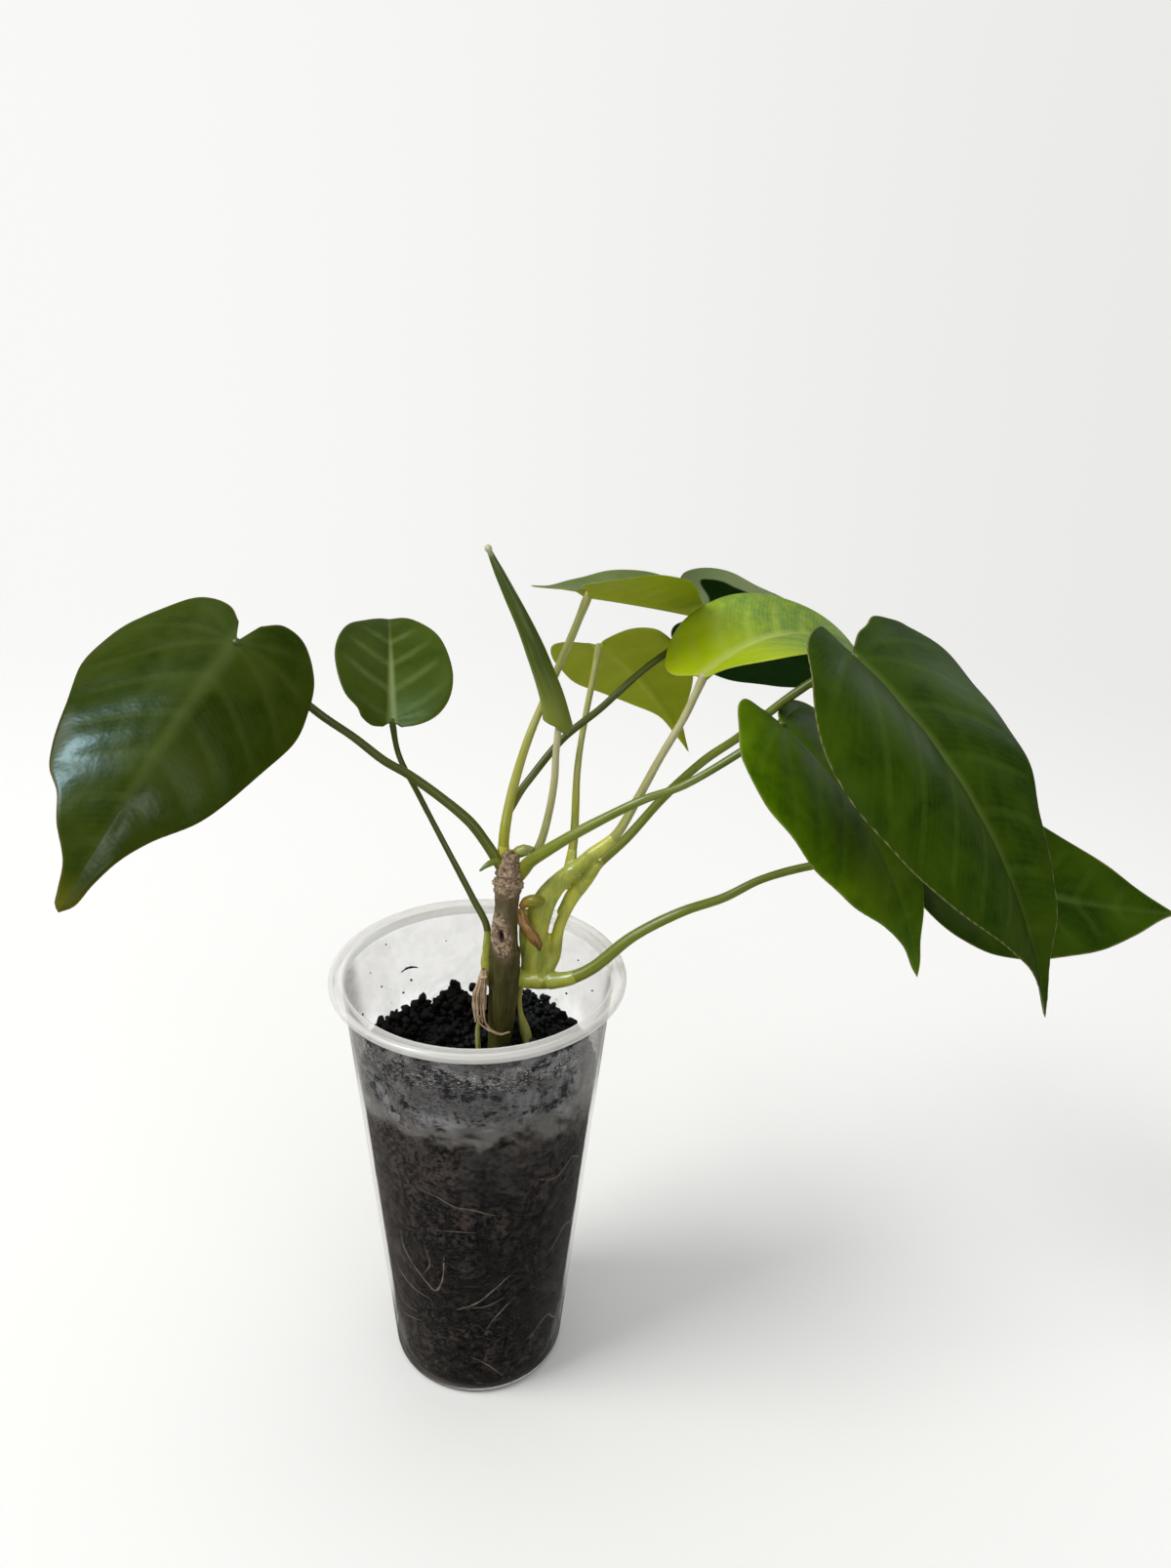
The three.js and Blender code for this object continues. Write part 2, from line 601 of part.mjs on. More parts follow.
// A sheet made solid: two faces split alike, half the thickness to either side, and a rim
function thicken(sheet, thickness) {
  const normals = sheet.points.map(() => new THREE.Vector3());
  const edges = new Map();
  for (const face of sheet.faces) {
    const [a, b, c] = face.map((i) => sheet.points[i]);
    const area = b.clone().sub(a).cross(c.clone().sub(a));
    face.forEach((i, n) => {
      normals[i].add(area);
      edges.set(`${i},${face[(n + 1) % 3]}`, [i, face[(n + 1) % 3]]);
    });
  }
  const moved = (way) => sheet.points.map((p, i) => p.clone()
    .addScaledVector(normals[i].clone().normalize(), (way * thickness) / 2));
  const upper = moved(1);
  const lower = moved(-1);
  const shell = new Shell();
  for (const [i, j, k] of sheet.faces) {
    shell.face(upper[i], upper[j], upper[k]);
    shell.face(lower[k], lower[j], lower[i]);
  }
  for (const [i, j] of edges.values()) {
    if (!edges.has(`${j},${i}`)) shell.quad(upper[j], upper[i], lower[i], lower[j]);
  }
  return toSolid(shell.geometry());
}

const NECK = { length: 6, ribReach: 0.3, sink: 0.3, ribRadius: 0.7, endRadius: 0.5 };
const PETIOLE = { steps: 12, sides: 7, taperSpan: 0.6, taperPower: 0.7 };

// The petiole as two runs of one line: the stalk itself, and the neck that is grown onto the blade
function petioleRuns(leaf, blade) {
  const [thick, thin] = leaf.stalkRadius;
  const line = new THREE.CatmullRomCurve3([...leaf.stalk, leaf.base].map(vector), false, 'centripetal');
  const length = line.getLength();
  const stop = 1 - NECK.length / length;
  const { steps } = PETIOLE;
  const run = (from, to, count) => {
    const path = [];
    for (let i = 0; i <= count; i += 1) path.push(line.getPointAt(lerp(from, to, i / count)).toArray());
    return path;
  };
  const radiusAt = (t) => lerp(thick, thin, Math.min(1, t / PETIOLE.taperSpan) ** PETIOLE.taperPower);
  const stem = run(0, stop, steps);
  const neck = run(stop + GAP / length, 1, 3);
  const ribPoint = (share) => {
    const { point, normal } = blade.rib(blade.length * share);
    return point.addScaledVector(normal, -NECK.sink).toArray();
  };
  neck.push(ribPoint(NECK.ribReach / 2), ribPoint(NECK.ribReach));
  return {
    stem: { path: stem, radii: stem.map((p, i) => radiusAt((stop * i) / steps)) },
    neck: { path: neck, radii: [thin, thin, thin, 0.9 * thin, NECK.ribRadius, NECK.endRadius] },
  };
}

// Assembly

const stump = stumpSolid();
const stumpRoom = stumpSolid(GAP + 0.1);
const crown = stalk(CROWN, 0, 9).subtract(stumpRoom);
const crownRoom = stalk(CROWN, GAP, 9);
const shootParts = [SHOOT_LEFT, SHOOT_RIGHT, SHOOT_BASE, SHOOT_INNER];
const union = (parts, extra) => parts.map((p) => stalk(p, extra, 9)).reduce((a, b) => a.add(b));
const shoot = union(shootParts, 0).subtract(stumpRoom);
const shootRoom = union(shootParts, GAP);
const leftBud = stalk(LEFT_BUD).subtract(stumpRoom);

const pieces = [];
const addPiece = (name, geometry, material) => {
  const mesh = new THREE.Mesh(geometry, material);
  mesh.name = name;
  pieces.push(mesh);
};
const addSolid = (name, solid, material) => addPiece(name, toGeometry(solid), material);

// Each petiole keeps clear of the stem, of the shoots, and of the petioles placed before it
const taken = [stumpRoom, crownRoom, shootRoom, stalk(LEFT_BUD, GAP)];
const clearOfTaken = (solid) => taken.reduce((left, room) => left.subtract(room), solid);

addPiece('cup', cupGeometry(), clearPlastic);
addSolid('stump', stump, bark);
addSolid('crown', crown, greenStem);
addSolid('shoot', shoot, greenStem);
addSolid('bud_left', leftBud, greenStem);

for (const leaf of LEAVES) {
  const blade = new Blade(leaf);
  const { stem, neck } = petioleRuns(leaf, blade);
  const body = thicken(bladeSheet(blade), BLADE_THICKNESS).add(stalk(neck, 0, 6, 7));
  addSolid(`leaf_${leaf.number}`, body, LEAF_PAINT[leaf.number] ?? darkLeaf);
  const petiole = clearOfTaken(stalk(stem, 0, PETIOLE.sides, PETIOLE.steps));
  addSolid(`stalk_${leaf.number}`, petiole, STALK_PAINT[leaf.number] ?? greenStem);
  taken.push(stalk(stem, GAP, PETIOLE.sides, PETIOLE.steps));
}

const spearProfile = (t, angle) => along(SPEAR.radii, t) * (1 + SPEAR.step * (angle / FULL_TURN - 0.5));
addPiece('leaf_3', loft(SPEAR.path, spearProfile, SPEAR.sides, SPEAR.steps), oliveLeaf);
addSolid('stalk_3', clearOfTaken(stalk(SPEAR_STALK)), paleStem);
taken.push(stalk(SPEAR_STALK, GAP));

const trimmings = [
  ['bud_top', TOP_BUD, greenStem],
  ['bract', BRACT, greenStem],
  ['aerial_root', AERIAL_ROOT, greenStem],
  ['dried_wrap', DRIED_WRAP, driedBrown],
  ['sprout', SPROUT, greenStem],
  ['curled_nub', CURLED_NUB, greenStem],
  ['dried_sheath', DRIED_SHEATH, driedBrown],
];
for (const [name, shape, material] of trimmings) {
  addSolid(name, clearOfTaken(stalk(shape)), material);
  taken.push(stalk(shape, GAP));
}

let soil = soilSolid().subtract(stumpRoom).subtract(stalk(SPROUT, GAP)).subtract(stalk(AERIAL_ROOT, GAP));
WALL_ROOTS.forEach((root, i) => {
  addSolid(`wall_root_${i + 1}`, stalk(wallRoot(root), 0, 6), paleRoot);
  soil = soil.subtract(stalk(wallRoot(root), GAP, 6));
});
addSolid('soil', soil, darkSoil);

const plant = new THREE.Group();
plant.name = 'potted_philodendron';
plant.add(...pieces);

export default plant;
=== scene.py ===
import math

import bmesh
import bpy
import numpy as np
from mathutils import Matrix, Vector, noise


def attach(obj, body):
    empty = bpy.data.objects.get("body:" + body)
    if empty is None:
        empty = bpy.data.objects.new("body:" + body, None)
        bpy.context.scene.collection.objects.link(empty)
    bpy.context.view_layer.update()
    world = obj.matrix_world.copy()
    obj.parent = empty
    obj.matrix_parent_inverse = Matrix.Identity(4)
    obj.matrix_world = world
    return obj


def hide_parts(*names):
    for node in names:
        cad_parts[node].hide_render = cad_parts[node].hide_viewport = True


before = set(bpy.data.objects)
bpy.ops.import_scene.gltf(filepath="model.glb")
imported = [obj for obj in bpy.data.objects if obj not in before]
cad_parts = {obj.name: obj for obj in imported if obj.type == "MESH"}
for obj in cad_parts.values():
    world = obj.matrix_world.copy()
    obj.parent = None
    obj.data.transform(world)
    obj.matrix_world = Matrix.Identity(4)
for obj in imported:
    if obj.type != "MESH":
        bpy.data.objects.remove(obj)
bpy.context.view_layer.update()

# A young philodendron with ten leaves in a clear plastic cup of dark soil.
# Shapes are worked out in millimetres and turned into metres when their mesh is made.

MM = 0.001
TURN = 2 * math.pi

# Real sizes, the same as in the solid model

CUP = {
    "height": 154, "rim": 47.5, "lip": 3.2, "neck": 43.1, "base": 29.7, "wall": 0.9, "floor": 1.8,
    "foot_round": 2.2, "groove_inner": 21, "groove_outer": 25.5, "groove_depth": 0.9,
}
SOIL = {"edge": 119, "mound": 6, "mound_radius": 17, "centre": (9, 6), "lump": 1.1, "bottom": 2.1}

STUMP_LINE = [
    (6, -0.5, 98), (6.4, 0, 120), (6.8, 0, 131), (7.4, 0.6, 145), (7.7, 1, 155), (8, 2, 168),
    (8.4, 3.4, 178), (8.8, 4.2, 185), (9.3, 4.8, 190), (9.6, 5, 191.4),
]
STUMP_RADII = [3.4, 3.4, 3.5, 3.5, 3.7, 4, 4.4, 4.6, 4.5, 3.8, 3.6, 4.4, 2.6]

CROWN = ([(8.4, 5, 176), (8.8, 8, 184), (9.6, 9.4, 190)], [2.4, 3.2, 2.6])
SHOOT_LEFT = (
    [(17, 4.4, 147.5), (17.4, 5, 155.4), (17.6, 6, 163), (18.8, 7, 171.3), (22.7, 8, 179),
     (28.7, 8, 185.5), (34.6, 8, 191.8)],
    [2.6, 3, 3.5, 3.6, 2.9, 2.5, 2.1],
)
SHOOT_RIGHT = (
    [(19.5, 4.2, 147.6), (23.6, 5, 156), (25.2, 7, 166.2), (29, 8, 175.4), (33.7, 8, 183.3),
     (36.4, 8, 188.6)],
    [2.4, 2.2, 1.9, 1.8, 2, 1.9],
)
SHOOT_BASE = ([(9, 2.5, 149.5), (14, 3, 149.1), (20, 4, 148.2), (24.4, 3.6, 148.6)], [2.6, 3.3, 3.3, 2.6])
SHOOT_INNER = ([(15.4, 4.6, 152), (14.2, 5, 162), (13.6, 5.2, 172.5)], [1.8, 1.7, 1.3])
LEFT_BUD = ([(3.4, 2, 147), (2.6, 2.2, 151.5), (2.1, 2.8, 155.6), (2.3, 3.4, 158.6)], [1.2, 2, 1.9, 1.4])
TOP_BUD = ([(9.9, 8.4, 190.9), (11.6, 8.2, 191.8), (13.8, 8.2, 192.7), (16, 8.6, 193.2)], [1, 1.9, 1.9, 0.6])
BRACT = ([(7.4, 4.6, 188.6), (5, 3.4, 190.6), (3.2, 2, 190.6), (0.4, 0, 189.1)], [1, 1.2, 0.9, 0.35])
SPROUT = ([(0.4, 0.5, 116), (-0.3, 0, 124), (-0.5, 1.4, 130.3), (0.1, 2.4, 134)], [0.9, 0.9, 0.9, 0.5])
AERIAL_ROOT = (
    [(13.4, 3.4, 147), (12.9, 3, 140), (13.6, 2.6, 134.5), (15, 2.4, 129.4), (15.8, 2.4, 126.2),
     (16, 2.4, 118)],
    [0.9, 0.8, 0.95, 1.8, 1.6, 0.8],
)
DRIED_WRAP = (
    [(1.6, -1.4, 154), (0.6, -2.6, 150), (-0.3, -3.4, 146.4), (-0.6, -4.2, 141), (0.4, -5, 137),
     (3.6, -5.6, 134.4), (7.6, -5.6, 133), (10, -4.6, 133.2)],
    [0.8, 1.3, 1.1, 1, 0.9, 0.8, 0.8, 0.7],
)
CURLED_NUB = ([(13.4, 2.4, 175.8), (14.8, 1.6, 177.6), (17.2, 1.2, 178.6), (19.8, 1.8, 177.9)],
              [1, 1.8, 2, 1.3])
SPEAR = (
    [(23.4, 8, 234), (22.6, 8, 237.5), (21.2, 8, 243.2), (18.2, 7.6, 252), (13.3, 7, 264.3),
     (8.2, 6.5, 275), (4.1, 6, 283.6), (1.8, 6, 288.6)],
    [4, 3.4, 3, 2.7, 2.2, 1.8, 1.3, 0.5],
)
SPEAR_STALK = [(14.7, 10, 187.3), (18.2, 10, 193.7), (20.8, 10, 204.3), (22.4, 9.4, 216.2),
               (22.7, 8.6, 226.2), (23.2, 8, 233.6)]
SPEAR_STALK_RADII = [1.4, 1.3, 1.2, 1.15, 1.1, 1]

# Sheaths that wrap the shoots and close most of the space between them.
SHEATHS = [
    ([(16.6, 4.6, 149), (17, 5, 157), (17.6, 6, 165), (19, 7, 172), (23, 8, 179.5), (28.7, 8, 186)],
     [3.3, 3.8, 4.1, 4.1, 3.3, 2.6]),
    ([(21, 4.6, 149.5), (21.6, 5.4, 156), (22, 6.2, 161), (21.4, 6.4, 163.6)], [2.2, 2.3, 1.7, 0.9]),
    ([(25.6, 8, 171), (28.6, 8.4, 176.6), (32.4, 8.2, 182.6)], [1.4, 2.1, 1.9]),
]

# Dried strands: shift across the wrap and forward, width as a share, darkness, and whether
# the strand loops round the front of the stem. The darkness is painted shade: it is greatest
# for the strands set furthest back, in the gaps between the pale ones.
STRANDS = [(-1.0, 0.2, 0.5, 0, False), (-0.62, 0.9, 0.5, 1, False), (-0.35, -0.3, 0.42, 0.1, True),
           (0.0, 0.8, 0.5, 1, False), (0.25, -0.2, 0.34, 0.3, False), (0.55, 0.7, 0.45, 0.9, False),
           (0.72, 0.0, 0.4, 0, True), (1.0, 0.5, 0.36, 0.5, False)]
# How far the strands spread and shift: points along the wrap, and the amount at each.
WRAP_SPREAD = ([0, 1, 2, 4, 5, 7], [0.7, 1.1, 1.7, 1.8, 0.5, 0.35])
WRAP_SHIFT = ([0, 2, 3, 5, 6], [0.2, 0.9, 1.2, 0.6, 0])
STRAND_LIMITS = (0.22, 0.6)
# A strand that doesn't loop follows this many points of the wrap, or one fewer.
STRAND_POINTS = 5
WRAP_COLLAR = ([(0.2, -2.0, 151.9), (1.2, -2.9, 152.3), (2.6, -2.7, 152.6)], [0.4, 0.55, 0.4])
# A dry flap that hangs from the sheath on the right
FLAP = {
    "line": [(12.4, 1.8, 175), (13.6, 1.4, 171.4), (15.8, 0.8, 168), (18, 0.4, 164.6), (19.4, 0.8, 160.8)],
    "widths": [1.6, 2.4, 2.6, 2.8, 0.4], "thickness": 0.3, "twist": 0.35,
}

# Roots against the inside of the wall: radius, and angle about Z in degrees with height.
# The solid model has the first five.
WALL_ROOTS = [
    (0.9, [(222, 64), (231, 58), (241, 52), (249, 48), (254, 54), (256, 65)]),
    (0.5, [(244, 93), (254, 92), (263, 89), (272, 88), (283, 85)]),
    (0.6, [(262, 41), (274, 45), (286, 52), (293, 56)]),
    (0.5, [(280, 32), (285, 37), (294, 43)]),
    (0.5, [(270, 18), (280, 14), (292, 6)]),
]
FINE_ROOTS = [
    (0.35, [(227, 69), (228, 62), (233, 57)]),
    (0.3, [(215, 49), (231, 44), (245, 43)]),
    (0.25, [(265, 43), (278, 43), (290, 46)]),
    (0.2, [(252, 77), (264, 78), (274, 78)]),
    (0.25, [(218, 25), (235, 29)]),
    (0.35, [(245, 66), (247, 60), (242, 54)]),
    (0.3, [(20, 70), (35, 62), (52, 60), (70, 52)]),
    (0.35, [(95, 88), (110, 78), (118, 64), (135, 58)]),
    (0.4, [(150, 40), (163, 47), (180, 45), (195, 52)]),
    (0.3, [(320, 58), (333, 64), (345, 60), (2, 66)]),
    (0.3, [(60, 30), (72, 24), (92, 26), (104, 18)]),
    (0.25, [(305, 96), (318, 92), (330, 95), (341, 90)]),
    (0.3, [(170, 96), (184, 90), (192, 80), (205, 78)]),
    (0.3, [(310, 20), (325, 25), (338, 18), (350, 22)]),
]

# Specks and a fibre stuck to the inside of the cup above the soil: angle, height and radius.
WALL_SPECKS = [
    (132, 129.6, 0.5), (145, 147.1, 0.35), (137.3, 126.1, 0.45), (45.4, 127.3, 0.45), (39.7, 142.2, 0.35),
    (60, 138, 0.3), (72, 131, 0.35), (151, 133, 0.4), (158, 141, 0.3), (112, 141, 0.3), (25, 136, 0.35),
    (170, 130, 0.4), (186, 139, 0.3), (205, 133, 0.35), (340, 136, 0.35), (300, 141, 0.3), (8, 129, 0.4),
]
WALL_FIBRE = (0.4, [(137.6, 134.4), (135.4, 134.9), (133, 134.9), (130.2, 134.4), (128.1, 133.7)])

# Small heaps of loose crumbs: centre, height and radius.
HEAPS = [
    (-12.5, 35, 8, 2.8), (-11, 32, 3, 7), (-36, 10, 5.5, 6), (-33, 18, 3, 6), (15, 34, 4.5, 4.5),
    (22, 30, 3, 5), (-24, 28, 2, 6), (-13, 9, 3, 6), (-33, -6, 3, 6), (25, 7, 3, 6), (30, -6, 2.5, 6),
]

# Leaves: the same values as in the solid model, in millimetres and degrees. base, tip, up and roll place
# the blade. sag bends its rib, twist turns it towards the tip, fold lifts each half, close folds it more
# towards the tip, and curl bends it with each millimetre out from the rib. left and right are the two
# margins, as places along and out from the rib. stalk holds the stalk's line, radius its thickness at
# the foot and at the blade, and tuck a shift of its foot. veins, which the solid model does without,
# counts the veins on each half.
PLAIN_LEAF = dict(roll=0, sag=0, twist=0, close=(0, 0), curl=(0, 0), tuck=(0, 0, 0), veins=6.5)
LEAVES = {
    1: dict(
        base=(-68, -5, 261), tip=(-101, -63, 205), up=(0, -0.6, 0.8), roll=-15, sag=5, twist=-15,
        fold=(-10, -10), curl=(-0.8, -0.7),
        left=[(-9, 3), (-14, 8), (-14, 15), (-6, 24), (3, 28), (14, 30), (34, 25), (50, 19.5),
              (62, 11), (70, 6.5), (78, 4), (85, 2.6)],
        right=[(-7, 3), (-11, 8), (-11, 18), (-5, 27), (2, 34), (10, 37), (23, 36), (38, 30), (50, 26),
              (56, 22.5), (61, 16.5), (68, 12), (76, 5.5), (83, 3), (86.5, 1.8)],
        stalk=[(7.2, 6, 186.4), (1.6, 7, 195.2), (-4, 8, 202.2), (-22, 10, 215.8), (-30, 11, 220),
               (-39.6, 12, 227.2), (-49, 12, 233.8), (-60, 7, 246.2)],
        radius=(1.9, 1.25)),
    2: dict(
        base=(-29, 20, 230), tip=(-36.6, 63.3, 250.6), up=(0, -0.8, 0.6), roll=13, sag=3,
        fold=(20, 20),
        left=[(-3, 3), (-3.6, 7), (-1.5, 10.2), (1.5, 11.5), (6, 15.5), (18, 19), (27.5, 18),
              (36, 14.5), (42.5, 9), (46.8, 4)],
        right=[(-3, 3), (-3, 8), (-1, 13.5), (4, 18), (12, 20), (22, 19), (33, 15.5), (41, 10.5),
              (47, 5)],
        stalk=[(2.4, 3.6, 158.9), (2, 6, 165.8), (-3, 10, 174), (-11, 14, 188), (-20, 17, 205),
               (-27, 19, 219)],
        radius=(1.3, 0.9), veins=4.4),
    4: dict(
        base=(31, 18, 273), tip=(73, 54, 256.6), up=(0, 0, 1), sag=0.5,
        fold=(2, 26), close=(56, 24),
        left=[(-7, 3), (-15, 5), (-15, 9), (-6, 11.5), (6, 14.5), (20, 18), (34, 17.5), (43, 12.5),
              (51, 6)],
        right=[(-4, 3), (-9, 7), (-9, 12), (-2, 17), (10, 19), (23, 18), (34, 13), (43, 7), (51, 3)],
        stalk=[(8, 8, 184), (7, 8, 192.9), (8.6, 9, 207.8), (13.6, 12, 227.3), (20, 15, 244),
               (27, 17, 262)],
        radius=(2, 1.2)),
    5: dict(
        base=(68, 64, 255.2), tip=(134, 92, 222), up=(0, 0.97, 0.25),
        fold=(25, 4), curl=(0, -2),
        left=[(-2, 4), (-3, 9), (0, 15), (8, 21), (20, 25), (36, 25), (52, 19), (64, 9)],
        right=[(-6, 3), (-14, 8), (-17, 14), (-14, 20), (-6, 24), (6, 25), (18, 26), (35, 25),
              (51, 19), (64, 9)],
        stalk=[(9.4, 11.6, 206.5), (12, 13, 211), (14.6, 15, 214.2), (24.5, 20, 226.1), (36, 24, 235.3),
               (43.2, 27, 241.8), (50.3, 32, 246.9), (56.8, 37, 250.5), (62.6, 50, 252.4)],
        radius=(1.3, 1.1)),
    6: dict(
        base=(34.6, 33, 252.8), tip=(68.4, 67, 205), up=(0, 0.79, 0.61), roll=9, sag=5, twist=-7,
        fold=(7, 26), curl=(-0.5, -0.3),
        left=[(-3, 3), (-6, 8), (-5, 14), (4, 20), (14, 22), (25, 22), (34, 17), (41, 11), (49, 3.6),
              (60, 1.6)],
        right=[(-1, 3), (0, 7), (3, 12), (9, 16), (16, 17), (28, 17), (38, 15), (47, 9), (53, 4),
               (61, 1.6)],
        stalk=[(27.6, 9, 183), (28.9, 13, 194.8), (29.3, 21, 216), (31.2, 27, 231), (33, 30, 242)],
        radius=(1.7, 1)),
    7: dict(
        base=(66, 11, 251), tip=(118, 43, 251), up=(0, -0.3, 0.95), roll=-20, sag=9, twist=40,
        fold=(12, 20), curl=(-0.6, -0.2),
        left=[(-2, 4), (-4, 10), (-2, 17), (4, 23), (14, 27), (25, 26), (35, 21), (45, 15), (55, 8)],
        right=[(-1.5, 3), (-1, 8), (2, 14.5), (9, 23), (20, 28), (34, 25), (46, 18), (56, 9)],
        stalk=[(34.4, 8, 191.7), (42, 8, 199), (48, 8.6, 211), (54, 9.4, 224), (61, 10.4, 238)],
        radius=(1.8, 1.2)),
    8: dict(
        base=(107, -2, 262), tip=(166, -38, 168), up=(0, -0.6, 0.8), roll=-33, sag=11, twist=20,
        fold=(9, 30), curl=(-0.5, -1.1),
        left=[(-3, 4), (-5.5, 11), (-6.5, 20), (-8, 29), (-5, 37), (-1, 45), (8, 52), (20, 51),
              (31, 45), (43, 38), (56, 34), (68, 26), (81, 18), (94, 12), (106, 5)],
        right=[(-5, 3), (-11, 8), (-11.5, 16), (-9, 27), (-2, 37), (7, 46), (19, 51), (34, 51),
              (48, 47), (60, 42), (70, 36), (80, 28), (90, 18), (100, 8), (110, 2.4)],
        stalk=[(33.2, 10.4, 182.6), (36.8, 13, 186), (45.4, 14, 195), (57, 15, 210), (68, 13, 223),
               (78, 6, 234.5), (87, 0, 246.2), (96.2, -1, 254.4)],
        radius=(1.7, 1.3)),
    9: dict(
        base=(88, -4, 242), tip=(133, -22, 170), up=(0, -0.6, 0.8), roll=-40, sag=8, twist=20,
        tuck=(1.6, 4.4, -0.6), fold=(7, 7), curl=(-0.7, -0.7),
        left=[(-3, 3), (-4, 8), (-2, 17), (3, 27), (11, 34), (24, 35), (40, 31), (56, 22), (70, 10),
              (78, 4.4), (85, 2.2)],
        right=[(-7, 2), (-12, 5), (-13, 12), (-8, 21), (-1, 31), (10, 35), (22, 34), (34, 32),
              (45, 27), (54, 22), (65, 13), (76, 5), (84, 2.6)],
        stalk=[(11.4, 1.6, 187), (15, -0.6, 192.3), (27, -4, 203), (37, -5, 210), (49, -5, 217),
               (61, -4.4, 222), (77, -4, 233)],
        radius=(2.4, 1.2)),
    10: dict(
        base=(141, 12, 193), tip=(222, 8, 178.5), up=(0, -0.5, 0.86), roll=-6, sag=-5, twist=10,
        fold=(14, 10), curl=(-0.2, -0.3),
        left=[(-6, 4), (-11, 10), (-8, 20), (3, 28), (18, 30), (35, 27), (48, 22), (60, 15), (72, 7)],
        right=[(-6, 4), (-9, 11), (-5, 21), (4, 29), (16, 31), (29, 29), (43, 24), (57, 18), (69, 10),
               (78, 3)],
        stalk=[(23, 2.8, 148.4), (29, 2.2, 150), (36, 2, 154), (49, 3, 166), (64, 4, 175),
               (77, 6, 179.5), (89, 8, 185.6), (105, 10, 190), (126, 12, 192.3)],
        radius=(2.4, 1.3)),
}
LEAVES = {number: {**PLAIN_LEAF, **leaf} for number, leaf in LEAVES.items()}


# Shapes

class Shape:
    """Corner points in millimetres, faces, and named values held by each corner."""

    def __init__(self, points, faces, **fields):
        self.points = np.asarray(points, float)
        self.faces = faces
        self.fields = {name: np.asarray(values, float) for name, values in fields.items()}

    @staticmethod
    def join(shapes):
        """One shape from many, with the values that all of them hold."""
        faces, start = [], 0
        for s in shapes:
            faces += [[i + start for i in face] for face in s.faces]
            start += len(s.points)
        shared = [name for name in shapes[0].fields if all(name in s.fields for s in shapes)]
        fields = {name: np.concatenate([s.fields[name] for s in shapes]) for name in shared}
        return Shape(np.concatenate([s.points for s in shapes]), faces, **fields)


def unit(v):
    return v / np.maximum(np.linalg.norm(v, axis=-1, keepdims=True), 1e-12)


def smooth_step(low, high, x):
    t = np.clip((x - low) / (high - low), 0, 1)
    return t * t * (3 - 2 * t)


def turns(count):
    """Evenly spaced angles, once round."""
    return np.arange(count) / count * TURN


def catmull(points, t):
    """Places on a centripetal Catmull-Rom line, for t from 0 to 1."""
    last = len(points) - 1
    place = np.clip(np.asarray(t, float) * last, 0, last)
    i = np.minimum(place.astype(int), last - 1)
    w = (place - i)[:, None]
    padded = np.vstack([2 * points[0] - points[1], points, 2 * points[-1] - points[-2]])
    p0, p1, p2, p3 = (padded[i + k] for k in range(4))
    d0, d1, d2 = (np.sqrt(np.maximum(np.linalg.norm(b - a, axis=1), 1e-8))[:, None]
                  for a, b in ((p0, p1), (p1, p2), (p2, p3)))
    m1 = ((p1 - p0) / d0 - (p2 - p0) / (d0 + d1) + (p2 - p1) / d1) * d1
    m2 = ((p2 - p1) / d1 - (p3 - p1) / (d1 + d2) + (p3 - p2) / d2) * d1
    return p1 + m1 * w + (3 * (p2 - p1) - 2 * m1 - m2) * w ** 2 + (2 * (p1 - p2) + m1 + m2) * w ** 3


def lengths(line):
    return np.concatenate([[0], np.cumsum(np.linalg.norm(np.diff(line, axis=0), axis=1))])


def spline(points, count):
    """Evenly spaced points along a smooth line."""
    fine = catmull(np.array(points, float), np.linspace(0, 1, 40 * len(points)))
    run = lengths(fine)
    wanted = np.linspace(0, run[-1], count)
    return np.stack([np.interp(wanted, run, fine[:, k]) for k in range(3)], axis=1)


def listed(values, t):
    """A value read along a short list, for t from 0 to 1."""
    return np.interp(t, np.linspace(0, 1, len(values)), values)


def frames_along(line):
    """Two directions across a line at each of its points, without twist."""
    ahead = unit(np.gradient(line, axis=0))
    across = np.zeros_like(line)
    across[0] = unit(np.cross(ahead[0], (0.31, 0.95, 0.05)))
    for i in range(1, len(line)):
        across[i] = unit(across[i - 1] - ahead[i] * across[i - 1].dot(ahead[i]))
    return ahead, across, np.cross(ahead, across)


def spokes(first, second, angle):
    """Directions out of a line at each of its points, one for each angle."""
    return first[:, None] * np.cos(angle)[None, :, None] + second[:, None] * np.sin(angle)[None, :, None]


def closed_rings(points, tips, down=False, **fields):
    """A closed body of rings of corners that run up, or down, with a point at each end."""
    rings, sides = points.shape[:2]
    faces = []
    for i in range(rings - 1):
        for j in range(sides):
            n = (j + 1) % sides
            faces.append([i * sides + j, i * sides + n, (i + 1) * sides + n, (i + 1) * sides + j])
    start, end, last = rings * sides, rings * sides + 1, (rings - 1) * sides
    for j in range(sides):
        n = (j + 1) % sides
        faces += [[start, n, j], [end, last + j, last + n]]
    if down:
        faces = [[face[0], *face[:0:-1]] for face in faces]
    return Shape(np.concatenate([points.reshape(-1, 3), tips]), faces, **fields)


DOME_SHARES = (0.35, 0.7)
DOME_HEIGHT = 0.8


